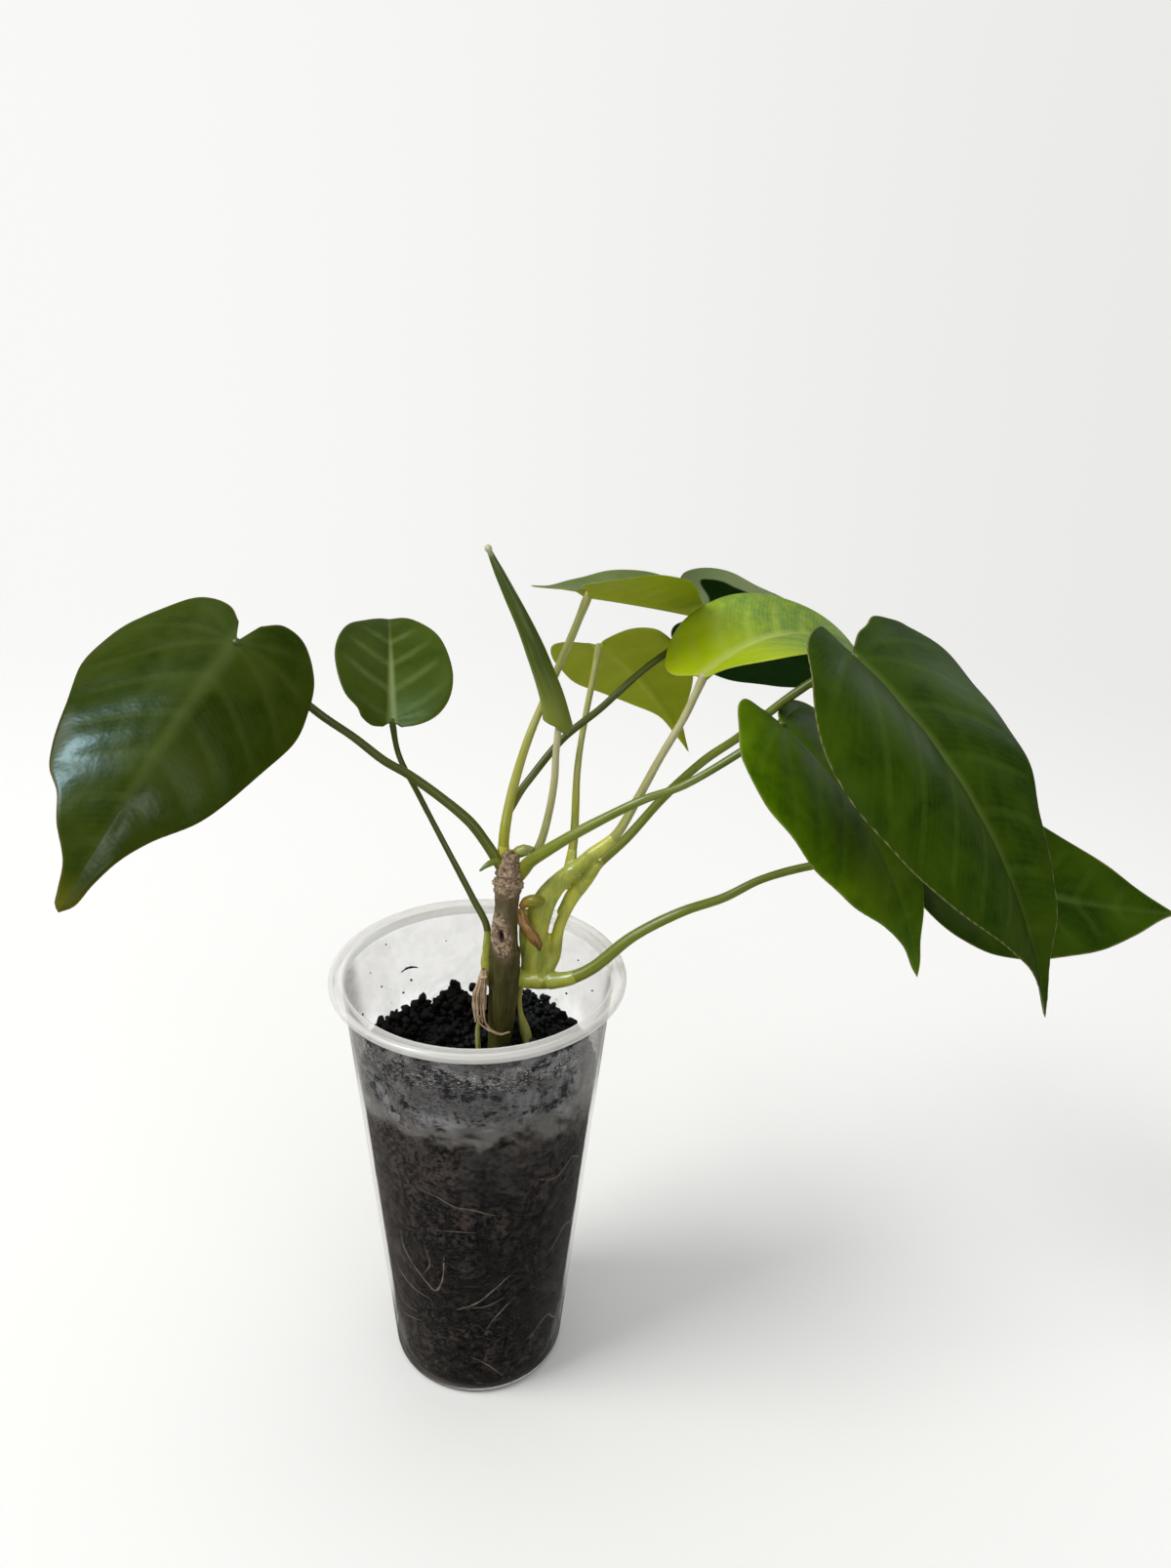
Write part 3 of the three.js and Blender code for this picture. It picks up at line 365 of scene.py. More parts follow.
def tube(line, radius, sides=20, dome=True):
    """A closed tube with rounded ends. radius holds one value a ring, or one for each corner."""
    line = np.asarray(line, float)
    rings = len(line)
    radius = np.broadcast_to(np.asarray(radius, float).reshape(rings, -1), (rings, sides))
    ahead, first, second = frames_along(line)
    angle = turns(sides)
    out = spokes(first, second, angle)
    points = line[:, None] + out * radius[..., None]
    run = lengths(line)
    reach = np.broadcast_to((run / run[-1])[:, None], (rings, sides))
    flow = np.stack([np.cos(angle) * radius, np.sin(angle) * radius,
                     np.broadcast_to(run[:, None], (rings, sides))], axis=-1)
    tips = line[[0, -1]]
    if dome:
        rise = ahead[[0, -1]] * np.array([[-radius[0].mean()], [radius[-1].mean()]]) * DOME_HEIGHT
        low, high = (
            [line[end] + rise[end] * share + out[end] * radius[end][:, None] * math.sqrt(1 - share ** 2)
             for share in DOME_SHARES] for end in (0, -1))
        points = np.concatenate([low[::-1], points, high])
        rows = [0, 0, *range(rings), -1, -1]
        reach, flow = reach[rows], flow[rows]
        tips = tips + rise
    return closed_rings(
        points, tips, reach=np.concatenate([reach.ravel(), [0, 1]]),
        flow=np.concatenate([flow.reshape(-1, 3), [[0, 0, 0], [0, 0, run[-1]]]]))


def soft_tube(shape, rings=40, sides=20, ripple=0.0, seed=0.0):
    """A tube from a list of points and radii, with a slightly uneven surface."""
    points, radii = shape
    t = np.linspace(0, 1, rings)[:, None]
    angle = turns(sides)
    wave = np.sin(3 * angle + 9 * t + seed) + np.sin(5 * angle - 17 * t + seed)
    return tube(spline(points, rings), listed(radii, t) * (1 + ripple * wave), sides)


def lathe(outline, sectors):
    """A closed solid of revolution about Z. The outline starts and ends on the axis."""
    outline = np.array(outline, float)
    angle = turns(sectors)
    body = outline[1:-1]
    points = np.stack([body[:, :1] * np.cos(angle), body[:, :1] * np.sin(angle),
                       np.broadcast_to(body[:, 1:], (len(body), sectors))], axis=-1)
    return closed_rings(points, [[0, 0, outline[0, 1]], [0, 0, outline[-1, 1]]])


def grain(points, scale, seed, octaves):
    """Repeatable smooth noise at each point, from about -1 to 1."""
    shift = Vector((seed, 2.3 * seed, -1.7 * seed))
    return np.array([noise.fractal(Vector(p) / scale + shift, 0.8, 2.1, octaves) for p in points])


def corner_normals(points, faces):
    """Area-weighted normals of a mesh's corners."""
    tris = np.array([(f[0], f[i], f[i + 1]) for f in faces for i in range(1, len(f) - 1)])
    a, b, c = (points[tris[:, k]] for k in range(3))
    area = np.cross(b - a, c - a)
    total = np.zeros_like(points)
    for k in range(3):
        np.add.at(total, tris[:, k], area)
    return unit(total)


# Pieces and their materials

def add(name, data):
    """An object of its own in the scene."""
    thing = bpy.data.objects.new(name, data)
    bpy.context.scene.collection.objects.link(thing)
    return thing


def new_piece(name, shape, look, nodes=()):
    mesh = bpy.data.meshes.new(name)
    mesh.from_pydata((shape.points * MM).tolist(), [], shape.faces)
    for field, values in shape.fields.items():
        wide = values.ndim == 2
        store = mesh.attributes.new(field, "FLOAT_VECTOR" if wide else "FLOAT", "POINT")
        store.data.foreach_set("vector" if wide else "value", values.astype(np.float32).ravel())
    mesh.materials.append(look)
    mesh.shade_smooth()
    mesh.validate()
    piece = add(name, mesh)
    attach(piece, "root")
    if nodes:
        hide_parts(*nodes)


class Wire:
    """A value that a shader node gives. Wires can be added, subtracted, multiplied and divided."""

    def __init__(self, graph, socket):
        self.graph, self.socket = graph, socket

    def __add__(self, other):
        return self.graph.math("ADD", self, other)

    def __sub__(self, other):
        return self.graph.math("SUBTRACT", self, other)

    def __mul__(self, other):
        return self.graph.math("MULTIPLY", self, other)

    def __truediv__(self, other):
        return self.graph.math("DIVIDE", self, other)


class Graph:
    """A tree of shader nodes that is built up step by step."""

    def __init__(self, tree):
        self.tree = tree

    def plug(self, socket, value):
        if isinstance(value, Wire):
            self.tree.links.new(value.socket, socket)
        else:
            socket.default_value = (*value, 1) if socket.type == "RGBA" else value

    def node(self, kind, output, inputs=(), **settings):
        """Adds a node and gives one of its outputs."""
        made = self.tree.nodes.new("ShaderNode" + kind)
        for name, value in settings.items():
            setattr(made, name, value)
        for name, value in dict(inputs).items():
            self.plug(made.inputs[name], value)
        return Wire(self, made.outputs[output])

    def math(self, operation, *values):
        return self.node("Math", 0, enumerate(values), operation=operation)

    def split(self, vector):
        """The three parts of a direction or place."""
        outputs = self.node("SeparateXYZ", 0, {0: vector}).socket.node.outputs
        return [Wire(self, output) for output in outputs]

    def steps(self, value, low, high, start=0.0, end=1.0):
        """The value's way from low to high, smoothed, as a way from start to end."""
        return self.node("MapRange", "Result", {
            "Value": value, "From Min": low, "From Max": high, "To Min": start, "To Max": end},
            interpolation_type="SMOOTHSTEP")

    def band(self, value, low, full, still, gone):
        """1 where the value is between full and still, and 0 below low and above gone."""
        return self.steps(value, low, full) * self.steps(value, gone, still)

    def mix(self, share, under, over):
        return self.node("Mix", 2, {0: share, 6: under, 7: over}, data_type="RGBA")

    def cover(self, colour, *layers):
        """Lays colours over the first one after another, each with its share."""
        for share, tone in layers:
            colour = self.mix(share, colour, tone)
        return colour


class Look(Graph):
    """A material. Its sockets are named with underscores for spaces."""

    def __init__(self, name, **sockets):
        self.material = bpy.data.materials.new(name)
        self.material.use_nodes = True
        super().__init__(self.material.node_tree)
        self.set(**sockets)

    def set(self, **sockets):
        shader = self.tree.nodes["Principled BSDF"]
        for name, value in sockets.items():
            self.plug(shader.inputs[name.replace("_", " ")], value)
        return self.material

    def place(self):
        return self.node("TexCoord", "Object")

    def value(self, name):
        """A value that the mesh's corners hold."""
        return self.node("Attribute", "Fac", attribute_name=name)

    def scaled(self, vector, *scale):
        return self.node("Mapping", 0, {"Vector": vector, "Scale": scale})

    def flow(self, along=1.0):
        """The place on a tube's surface, with its length scaled for streaks."""
        return self.scaled(self.node("Attribute", "Vector", attribute_name="flow"), 1, 1, along)

    def noise(self, scale, detail=3.0, roughness=0.55, distortion=0.0, vector=None):
        return self.node("TexNoise", "Fac", {
            "Vector": vector or self.place(), "Scale": scale, "Detail": detail,
            "Roughness": roughness, "Distortion": distortion})

    def bump(self, height, distance, strength, under=None):
        """Relief of a depth in millimetres, which may lie over other relief."""
        inputs = {"Height": height, "Distance": distance * MM, "Strength": strength}
        if under:
            inputs["Normal"] = under
        return self.node("Bump", "Normal", inputs)


# Fine veins from one side vein to the next, and the share of its width that the rib loses by the tip
FINE_VEINS = 7
RIB_NARROWS = 0.73


def leaf_look(name, deep, mid, vein, rib, margin, under, under_vein, rough=0.38, gloss=0.04, veined=0.3,
              ribbed=0.6, rib_wide=3.0, shine_tint=(0.85, 1.0, 0.6), far=None, tip=None, rim=None):
    """A leaf's two faces. The upper one is waxy, with paler veins and a thin pale margin."""
    look = Look(name, Specular_Tint=shine_tint, Specular_IOR_Level=gloss)
    upper, edge, off_rib, reach, phase, spread = (look.value(field) for field in (
        "upper", "edge", "off_rib", "reach", "phase", "spread"))
    patches = look.noise(48, 3, 0.6, 0.4)
    mottle = look.noise(380, 4, 0.65)
    from_vein = look.math("ABSOLUTE", look.math("FRACT", phase + 0.5) - 0.5) * spread
    near_vein = look.steps(from_vein, 0.1, 2.2, 1, 0) * look.steps(edge, 1, 9)
    near_vein = near_vein * look.steps(mottle, 0.2, 0.6, 0.5, 1) * veined
    from_fine_vein = look.math("ABSOLUTE", look.math("FRACT", phase * FINE_VEINS) - 0.5)
    fine_vein = look.steps(from_fine_vein, 0.05, 0.35, 0.16, 0)
    rib_width = reach * (-RIB_NARROWS * rib_wide) + rib_wide
    on_rib = look.steps(off_rib / rib_width, 0.0, 1.5, 1, 0)
    on_rib = on_rib * look.steps(reach, 0.3, 0.85, 1, 0.2)

    front = look.mix(look.steps(patches, 0.3, 0.7), deep, mid)
    if far:
        front = look.mix(look.steps(reach, 0.12, 0.5), front, far)
    if tip:
        front = look.mix(look.steps(reach, 0.86, 1.0, 0, 0.85), front, tip)
    front = look.cover(
        front, (look.steps(mottle, 0.35, 0.75, 0, 0.35), mid), (fine_vein, look.mix(0.5, deep, vein)),
        (near_vein, vein), (on_rib * ribbed, rib))
    back_shares = (look.steps(patches, 0.3, 0.75, 0, 0.5), look.steps(mottle, 0.4, 0.7, 0, 0.2),
                   near_vein, on_rib * 0.7)
    back = look.cover(under, *((share, under_vein) for share in back_shares))
    # A painted band of sheen on the back near the right margin, standing for the margin's upper face where
    # it curls over.
    if rim:
        back = look.mix(look.steps(edge, 6.2, 7.2, 1, 0) * look.value("right"), back, rim)
    colour = look.cover(back, (upper, front), (look.steps(edge, 0.15, 0.6, 0.6, 0), margin))
    roughness = look.steps(patches, 0.25, 0.75, rough - 0.05, rough + 0.08) + (upper * -0.2 + 0.2)
    relief = look.bump(fine_vein * -0.1 + look.noise(120, 3, 0.6), 0.6, 0.35)
    return look.set(Base_Color=colour, Roughness=roughness, Normal=relief)


def stem_look(name, foot, low, high, streak):
    """Green stalk tissue: a change of colour along it and fine streaks that run its length."""
    look = Look(name, Specular_IOR_Level=0.3)
    reach = look.value("reach")
    lines = look.noise(1.5, 3, 0.6, 0.0, look.flow(0.05))
    blotches = look.noise(0.16, 3, 0.6, 0.5, look.flow(0.35))
    colour = look.cover(
        foot, (look.steps(reach, 0.02, 0.16), low), (look.steps(reach, 0.15, 0.8), high),
        (look.steps(lines, 0.42, 0.75, 0, 0.6), streak))
    colour = look.mix(look.steps(blotches, 0.4, 0.7, 0, 0.3), colour, look.mix(0.5, colour, foot))
    return look.set(Base_Color=colour, Roughness=look.steps(lines, 0.2, 0.8, 0.3, 0.46),
                    Normal=look.bump(lines, 0.08, 0.5))


# Leaf blades

RIB_STEPS = 40


class Blade:
    """The surface of one blade, as in the solid model. u runs along the rib and v out from it."""

    def __init__(self, leaf):
        self.leaf = leaf
        self.base = np.array(leaf["base"], float)
        chord = np.array(leaf["tip"], float) - self.base
        self.reach = np.linalg.norm(chord)
        self.forward = chord / self.reach
        up = np.array(leaf["up"], float)
        up = unit(up - self.forward * up.dot(self.forward))
        roll = math.radians(leaf["roll"])
        self.normal = up * math.cos(roll) + np.cross(self.forward, up) * math.sin(roll)
        self.side = np.cross(self.forward, self.normal)
        self.marks = np.linspace(0, 1, RIB_STEPS + 1)
        steps = np.hypot(self.reach / RIB_STEPS, np.diff(self.rise(self.marks)))
        self.places = np.concatenate([[0], np.cumsum(steps)])
        self.length = self.places[-1]

    def rise(self, t):
        return 4 * self.leaf["sag"] * t * (1 - t)

    def rib(self, u):
        u = np.asarray(u, float)
        t = np.interp(u, self.places, self.marks)
        slope = 4 * self.leaf["sag"] * (1 - 2 * t) / self.reach
        ahead = unit(self.forward + slope[:, None] * self.normal)
        point = (self.base + (t * self.reach)[:, None] * self.forward
                 + self.rise(t)[:, None] * self.normal + ahead * np.minimum(u, 0)[:, None])
        straight = np.cross(self.side, ahead)
        across = np.cross(ahead, straight)
        twist = math.radians(self.leaf["twist"]) * np.maximum(0, u / self.length)[:, None]
        normal = straight * np.cos(twist) + across * np.sin(twist)
        return point, normal, np.cross(ahead, normal)

    def at(self, u, v, hand):
        point, normal, side = self.rib(u)
        half = 0 if hand < 0 else 1
        fold = np.radians(self.leaf["fold"][half] + self.leaf["close"][half] * u / self.length)
        curl = math.radians(self.leaf["curl"][half])
        out, rise = v * np.cos(fold), v * np.sin(fold)
        if abs(curl) > 1e-6:
            out = (np.sin(fold + curl * v) - np.sin(fold)) / curl
            rise = (np.cos(fold) - np.cos(fold + curl * v)) / curl
        return point + side * (hand * out)[:, None] + normal * rise[:, None]


# The side veins lean towards the tip and bend. "across" is their distance as a share of that along the
# rib, and "lobe_step" the angle, in radians, between the veins that fan out behind the petiole.
VEINS = {"lean": 0.4, "bend": 0.011, "across": 0.85, "lobe_step": 0.5}


def vein_field(u, v, length, count):
    """Which side vein a place lies nearest to, as a running number, and the distance between veins."""
    spacing = length / count
    run = VEINS["lean"] * v + VEINS["bend"] * v ** 2
    start = u - run
    turn = np.arctan2(v, u) - np.arctan2(v, run)
    ahead = start >= 0
    phase = np.where(ahead, start / spacing, -turn / VEINS["lobe_step"])
    spread = np.where(ahead, VEINS["across"] * spacing, VEINS["lobe_step"] * np.hypot(u, v))
    return phase, np.maximum(spread, 0.5)


# A blade's net: the size of a cell, and the fewest and most cells along the rib, out from it and
# round a lobe
CELL = 1.25
RIB_CELLS, ROW_CELLS, LOBE_CELLS = (34, 90), (14, 40), (12, 40)
BLADE = {
    "thickness": 0.5, "edge_half": 0.06, "bulge": 0.016, "wave": 0.55, "groove": 0.05, "groove_below": 0.09,
    "groove_width": 0.8, "rib_dip": 0.14, "dip_width": 1.4, "ridge_below": 0.9, "rib_share": 0.95,
    "rib_tip": 0.25, "rib_to_edge": 9,
}


def blade_sheet(leaf, blade, ribs):
    """A net of corners over both halves, its faces, and u, v, edge, hand and share of each corner."""
    rib_u = blade.length * np.linspace(0, 1, ribs + 1)
    points, faces = [blade.rib(rib_u)[0]], []
    known = [np.stack([rib_u, *np.zeros((4, ribs + 1))], axis=1)]
    count = ribs + 1
    for hand, side in ((-1, "left"), (1, "right")):
        margin = np.array([*leaf[side], (blade.length, 0)], float)
        first = next(i for i, (u, v) in enumerate(leaf[side]) if u > 0) / (len(margin) - 1)
        marks = np.linspace(0, 1, 600)
        fine = catmull(margin, marks)
        run = lengths(fine)
        split = np.interp(first, marks, run)
        lobes = int(np.clip(split / CELL, *LOBE_CELLS))
        rows = int(np.clip(margin[:, 1].max() / CELL, *ROW_CELLS))
        stops = np.concatenate([np.linspace(0, split, lobes + 1)[:-1],
                                np.linspace(split, run[-1], ribs + 1)])
        edge_u, edge_v = (np.interp(stops, run, fine[:, k]) for k in (0, 1))
        s = np.linspace(0, 1, rows + 1)
        share = 0.6 * s + 0.4 * (0.5 - 0.5 * np.cos(math.pi * s))
        start_u = np.concatenate([np.zeros(lobes), rib_u])
        u = (start_u[:, None] + (edge_u - start_u)[:, None] * share)[:-1, 1:].ravel()
        v = (edge_v[:, None] * share)[:-1, 1:].ravel()
        ids = np.zeros((lobes + ribs + 1, rows + 1), int)
        ids[lobes:, 0] = range(ribs + 1)
        ids[-1, :] = ribs
        ids[:-1, 1:] = count + np.arange((lobes + ribs) * rows).reshape(lobes + ribs, rows)
        count += (lobes + ribs) * rows
        points.append(blade.at(u, v, hand))
        edge = np.min(np.hypot(u[:, None] - fine[None, ::3, 0], v[:, None] - fine[None, ::3, 1]), axis=1)
        known.append(np.stack([u, v, edge, np.full(len(u), hand), np.tile(share[1:], lobes + ribs)], axis=1))
        for a in range(lobes + ribs):
            for b in range(rows):
                corners = [ids[a, b], ids[a, b + 1], ids[a + 1, b + 1], ids[a + 1, b]]
                corners = list(dict.fromkeys(corners))
                if len(corners) > 2:
                    faces.append(corners[::-1] if hand < 0 else corners)
    return np.concatenate(points), faces, np.concatenate(known).T


def blade_shape(leaf, number):
    """A thin closed blade with side veins, a wavy margin and a rib that stands out below."""
    blade = Blade(leaf)
    ribs = int(np.clip(blade.length / CELL, *RIB_CELLS))
    sheet, faces, (u, v, edge, hand, share) = blade_sheet(leaf, blade, ribs)
    edge[:ribs + 1] = np.minimum(blade.length - u[:ribs + 1], BLADE["rib_to_edge"])
    phase, spread = vein_field(u, v, blade.length, leaf["veins"])
    fade = smooth_step(0, 5, edge) * smooth_step(0, 3, v)
    bulge = BLADE["bulge"] * spread * (1 - np.cos(TURN * phase)) / 2
    wave = (np.sin(0.16 * u + 1.7 * number + hand) * 0.5 + np.sin(0.31 * u - 0.9 * number + 2 * hand) * 0.3
            + np.sin(0.09 * u + 0.12 * v * hand + number))
    lift = bulge * fade + BLADE["wave"] * wave * share ** 2 * smooth_step(0, 12, v)
    sheet = sheet + corner_normals(sheet, faces) * lift[:, None]

    groove = np.exp(-(np.abs(phase - np.round(phase)) * spread / BLADE["groove_width"]) ** 2) * fade
    reach = np.clip(u / blade.length, 0, 1)
    dip = np.exp(-(v / BLADE["dip_width"]) ** 2) * (1 - reach)
    rib_radius = BLADE["rib_share"] * leaf["radius"][1] * (1 - reach) + BLADE["rib_tip"]
    rib_radius = rib_radius * smooth_step(-6, 0, u)
    ridge = rib_radius * np.sqrt(np.clip(1 - (v / (1.5 * rib_radius + 0.1)) ** 2, 0, 1))
    half = BLADE["thickness"] / 2 * smooth_step(-0.2, 1.0, edge)
    up = half - BLADE["groove"] * groove - BLADE["rib_dip"] * dip
    down = half + BLADE["groove_below"] * groove + BLADE["ridge_below"] * ridge
    rim = share > 0.999
    rim[ribs] = True
    up[rim] = down[rim] = BLADE["edge_half"]
    normal = corner_normals(sheet, faces)
    upper, lower = sheet + normal * up[:, None], sheet - normal * down[:, None]

    n = len(sheet)
    under_faces = [[i + n for i in face[::-1]] for face in faces]
    edges = dict.fromkeys(pair for face in faces for pair in zip(face, face[1:] + face[:1]))
    border = [[b, a, a + n, b + n] for a, b in edges if (b, a) not in edges]
    both = {"phase": phase, "spread": spread, "off_rib": v, "edge": edge, "reach": reach, "right": hand > 0}
    return Shape(
        np.concatenate([upper, lower]), faces + under_faces + border,
        upper=np.repeat([1, 0], n), **{name: np.tile(values, 2) for name, values in both.items()})


PETIOLE_SIDES = 18
PETIOLE = {
    "tucked": 14, "sunk": (2.5, 1.2), "taper_until": 0.6, "taper_power": 0.7, "swell": 0.12,
    "swell_at": 0.97, "swell_width": 0.03,
}


def petiole_line(leaf, count):
    return spline([*leaf["stalk"], leaf["base"]], count)


def petiole_shape(leaf):
    """One leaf's stalk, which thickens a little where it meets the blade."""
    line = petiole_line(leaf, 90)
    line = line + np.outer(smooth_step(PETIOLE["tucked"], 0, lengths(line)), leaf["tuck"])
    ahead = unit(line[1] - line[0])
    line = np.concatenate([[line[0] - depth * ahead for depth in PETIOLE["sunk"]], line])
    thick, thin = leaf["radius"]
    t = (lengths(line) / lengths(line)[-1])[:, None]
    radius = thick + (thin - thick) * np.minimum(1, t / PETIOLE["taper_until"]) ** PETIOLE["taper_power"]
    swell = np.exp(-((t - PETIOLE["swell_at"]) / PETIOLE["swell_width"]) ** 2)
    radius = radius * (1 + PETIOLE["swell"] * swell)
    uneven = 1 + 0.02 * np.sin(3 * turns(PETIOLE_SIDES) + 11 * t) + 0.015 * np.sin(40 * t)
    return tube(line, radius * uneven, PETIOLE_SIDES)


# Colours of the blades, and of the petioles below them

LEAF_TONES = {
    "dark": dict(
        deep=(0.014, 0.037, 0.001), mid=(0.038, 0.075, 0.002), vein=(0.07, 0.12, 0.012),
        rib=(0.13, 0.19, 0.04), margin=(0.3, 0.26, 0.12), under=(0.012, 0.04, 0.003),
        under_vein=(0.02, 0.055, 0.006), gloss=0.025, ribbed=0.6),
    "fresh": dict(
        deep=(0.05, 0.12, 0.001), mid=(0.13, 0.235, 0.002), vein=(0.15, 0.26, 0.02),
        rib=(0.14, 0.23, 0.025), margin=(0.3, 0.28, 0.12), under=(0.05, 0.1, 0.005),
        under_vein=(0.09, 0.15, 0.02), ribbed=0.7),
    "moss": dict(
        deep=(0.018, 0.036, 0.0005), mid=(0.042, 0.066, 0.001), vein=(0.07, 0.1, 0.016),
        rib=(0.1, 0.14, 0.035), margin=(0.16, 0.09, 0.03), under=(0.07, 0.11, 0.02),
        under_vein=(0.12, 0.17, 0.05), gloss=0.1, rough=0.28, ribbed=0.42, tip=(0.13, 0.13, 0.006),
        shine_tint=(0.95, 1, 0.9)),
    "round": dict(
        deep=(0.028, 0.05, 0.001), mid=(0.05, 0.082, 0.003), vein=(0.12, 0.17, 0.05),
        rib=(0.2, 0.25, 0.09), margin=(0.12, 0.1, 0.03), under=(0.07, 0.11, 0.02),
        under_vein=(0.12, 0.17, 0.05), gloss=0.1, rough=0.33, veined=0.5, ribbed=0.95, rib_wide=1.7),
    # L5: its darker underside is painted shade, and its rim colour is a painted band of sheen where the
    # right margin curls over.
    "shade": dict(
        deep=(0.016, 0.042, 0.001), mid=(0.04, 0.082, 0.002), vein=(0.07, 0.12, 0.012),
        rib=(0.12, 0.18, 0.03), margin=(0.2, 0.24, 0.12), under=(0.006, 0.03, 0.001),
        under_vein=(0.01, 0.036, 0.003), rim=(0.33, 0.41, 0.2)),
    "bright": dict(
        deep=(0.3, 0.4, 0.001), mid=(0.4, 0.49, 0.002), vein=(0.36, 0.46, 0.06),
        rib=(0.46, 0.52, 0.14), margin=(0.42, 0.48, 0.1), under=(0.26, 0.36, 0.01),
        under_vein=(0.36, 0.44, 0.06), far=(0.12, 0.22, 0.045), veined=0.35, gloss=0.08),
    # L4 and L6: the bright yellow-green underside is partly the young leaves' own colour and partly painted
    # glow of light shining through them.
    "olive": dict(
        deep=(0.1, 0.15, 0.03), mid=(0.15, 0.2, 0.06), vein=(0.2, 0.26, 0.09),
        rib=(0.3, 0.34, 0.12), margin=(0.34, 0.36, 0.1), under=(0.27, 0.325, 0.003),
        under_vein=(0.36, 0.4, 0.02), gloss=0.12),
}
# At the foot, low down, high up and in the streaks
STEM_TONES = {
    "green_stem": ((0.27, 0.27, 0.02), (0.17, 0.2, 0.012), (0.12, 0.165, 0.012), (0.26, 0.3, 0.08)),
    "dark_stem": ((0.16, 0.17, 0.01), (0.075, 0.095, 0.006), (0.05, 0.07, 0.004), (0.12, 0.14, 0.03)),
    "pale_stem": ((0.27, 0.28, 0.02), (0.3, 0.31, 0.07), (0.45, 0.43, 0.22), (0.6, 0.58, 0.36)),
    "bud_skin": ((0.34, 0.13, 0.015), (0.3, 0.15, 0.015), (0.2, 0.22, 0.012), (0.3, 0.3, 0.06)),
    "lime_stem": ((0.33, 0.32, 0.012), (0.34, 0.35, 0.02), (0.33, 0.34, 0.1), (0.55, 0.55, 0.25)),
}
looks = {name: leaf_look(name + "_leaf", **tones) for name, tones in LEAF_TONES.items()}
stems = {name: stem_look(name, *tones) for name, tones in STEM_TONES.items()}

# Each blade's look and its petiole's
LEAF_LOOKS = {
    1: ("moss", "dark_stem"), 2: ("round", "dark_stem"), 4: ("olive", "lime_stem"),
    5: ("shade", "dark_stem"), 6: ("olive", "lime_stem"), 7: ("bright", "pale_stem"),
    8: ("dark", "green_stem"), 9: ("fresh", "green_stem"), 10: ("dark", "green_stem"),
}

for number, leaf in LEAVES.items():
    kind, stem = LEAF_LOOKS[number]
    new_piece(f"blade_{number}", blade_shape(leaf, number), looks[kind], [f"leaf_{number}"])
    new_piece(f"petiole_{number}", petiole_shape(leaf), stems[stem], [f"stalk_{number}"])


# Rolled leaf

ROLL_FORM = {
    "foot_narrows": 0.5, "foot_length": 0.035, "tip_bulb": 0.45, "bulb_at": 0.985, "bulb_width": 0.012,
    "lap": 0.11, "lap_width": 0.1, "mouth_slant": 2.6, "mouth_length": 0.2,
}


def spear_shape():
    """The rolled leaf: a cone with one outer edge that laps over the rest and opens at its foot."""
    rings, sides = 110, 60
    line = spline(SPEAR[0], rings)
    t = np.linspace(0, 1, rings)
    radius = listed(SPEAR[1], t)
    radius *= 1 - ROLL_FORM["foot_narrows"] * smooth_step(ROLL_FORM["foot_length"], 0, t)
    radius += ROLL_FORM["tip_bulb"] * np.exp(-((t - ROLL_FORM["bulb_at"]) / ROLL_FORM["bulb_width"]) ** 2)
    lap = ROLL_FORM["lap"] * (2 * smooth_step(0, ROLL_FORM["lap_width"], np.arange(sides) / sides) - 1)
    shape = tube(line, radius[:, None] * (1 + lap), sides, dome=False)
    rim = shape.points[:-2].reshape(rings, sides, 3)
    ahead = unit(np.gradient(line, axis=0))
    aside = (rim[..., 0] - line[:, None, 0]) / np.maximum(radius, 0.1)[:, None]
    slant = ROLL_FORM["mouth_slant"] * aside * np.clip(1 - t / ROLL_FORM["mouth_length"], 0, 1)[:, None] ** 2
    shape.points[:-2] = (rim - ahead[:, None] * slant[..., None]).reshape(-1, 3)
    return shape


def spear_look():
    look = Look("rolled_leaf", Coat_Weight=0.1, Coat_Roughness=0.25, Specular_IOR_Level=0.25, Roughness=0.42)
    reach = look.value("reach")
    lines = look.noise(1.1, 3, 0.6, 0.0, look.flow(0.06))
    side = look.split(look.flow())[0]
    colour = look.cover(
        (0.17, 0.2, 0.02),
        (look.steps(reach, 0.0, 0.45), (0.055, 0.085, 0.006)),
        (look.steps(side, 0.5, 2.5, 0, 0.6), (0.2, 0.24, 0.04)),
        (look.steps(lines, 0.4, 0.75, 0, 0.4), (0.16, 0.2, 0.04)),
        (look.steps(reach, 0.93, 0.99), (0.5, 0.5, 0.3)))
    return look.set(Base_Color=colour, Normal=look.bump(lines, 0.1, 0.5))


new_piece("rolled_blade", spear_shape(), spear_look(), ["leaf_3"])
spear_stalk = tube(spline(SPEAR_STALK, 60), listed(SPEAR_STALK_RADII, np.linspace(0, 1, 60)), PETIOLE_SIDES)
new_piece("petiole_3", spear_stalk, stems["pale_stem"], ["stalk_3"])


# Old stem

# The eye-shaped scar where a leaf stood: its middle, lean to the left, size, raised rim and hollow.
SCAR = {
    "height": 166.4, "left": 0.9, "lean": 0.2, "radius": 3.1, "squash": 0.55, "rim": 0.85,
    "rim_rise": 0.85, "hollow": 2.0,
}
CORK_FROM, CORK_FULL = 178.5, 182.5
STEP_FACE = {"foot": (124, 132), "top": (161.6, 160.9), "depth": 0.7}


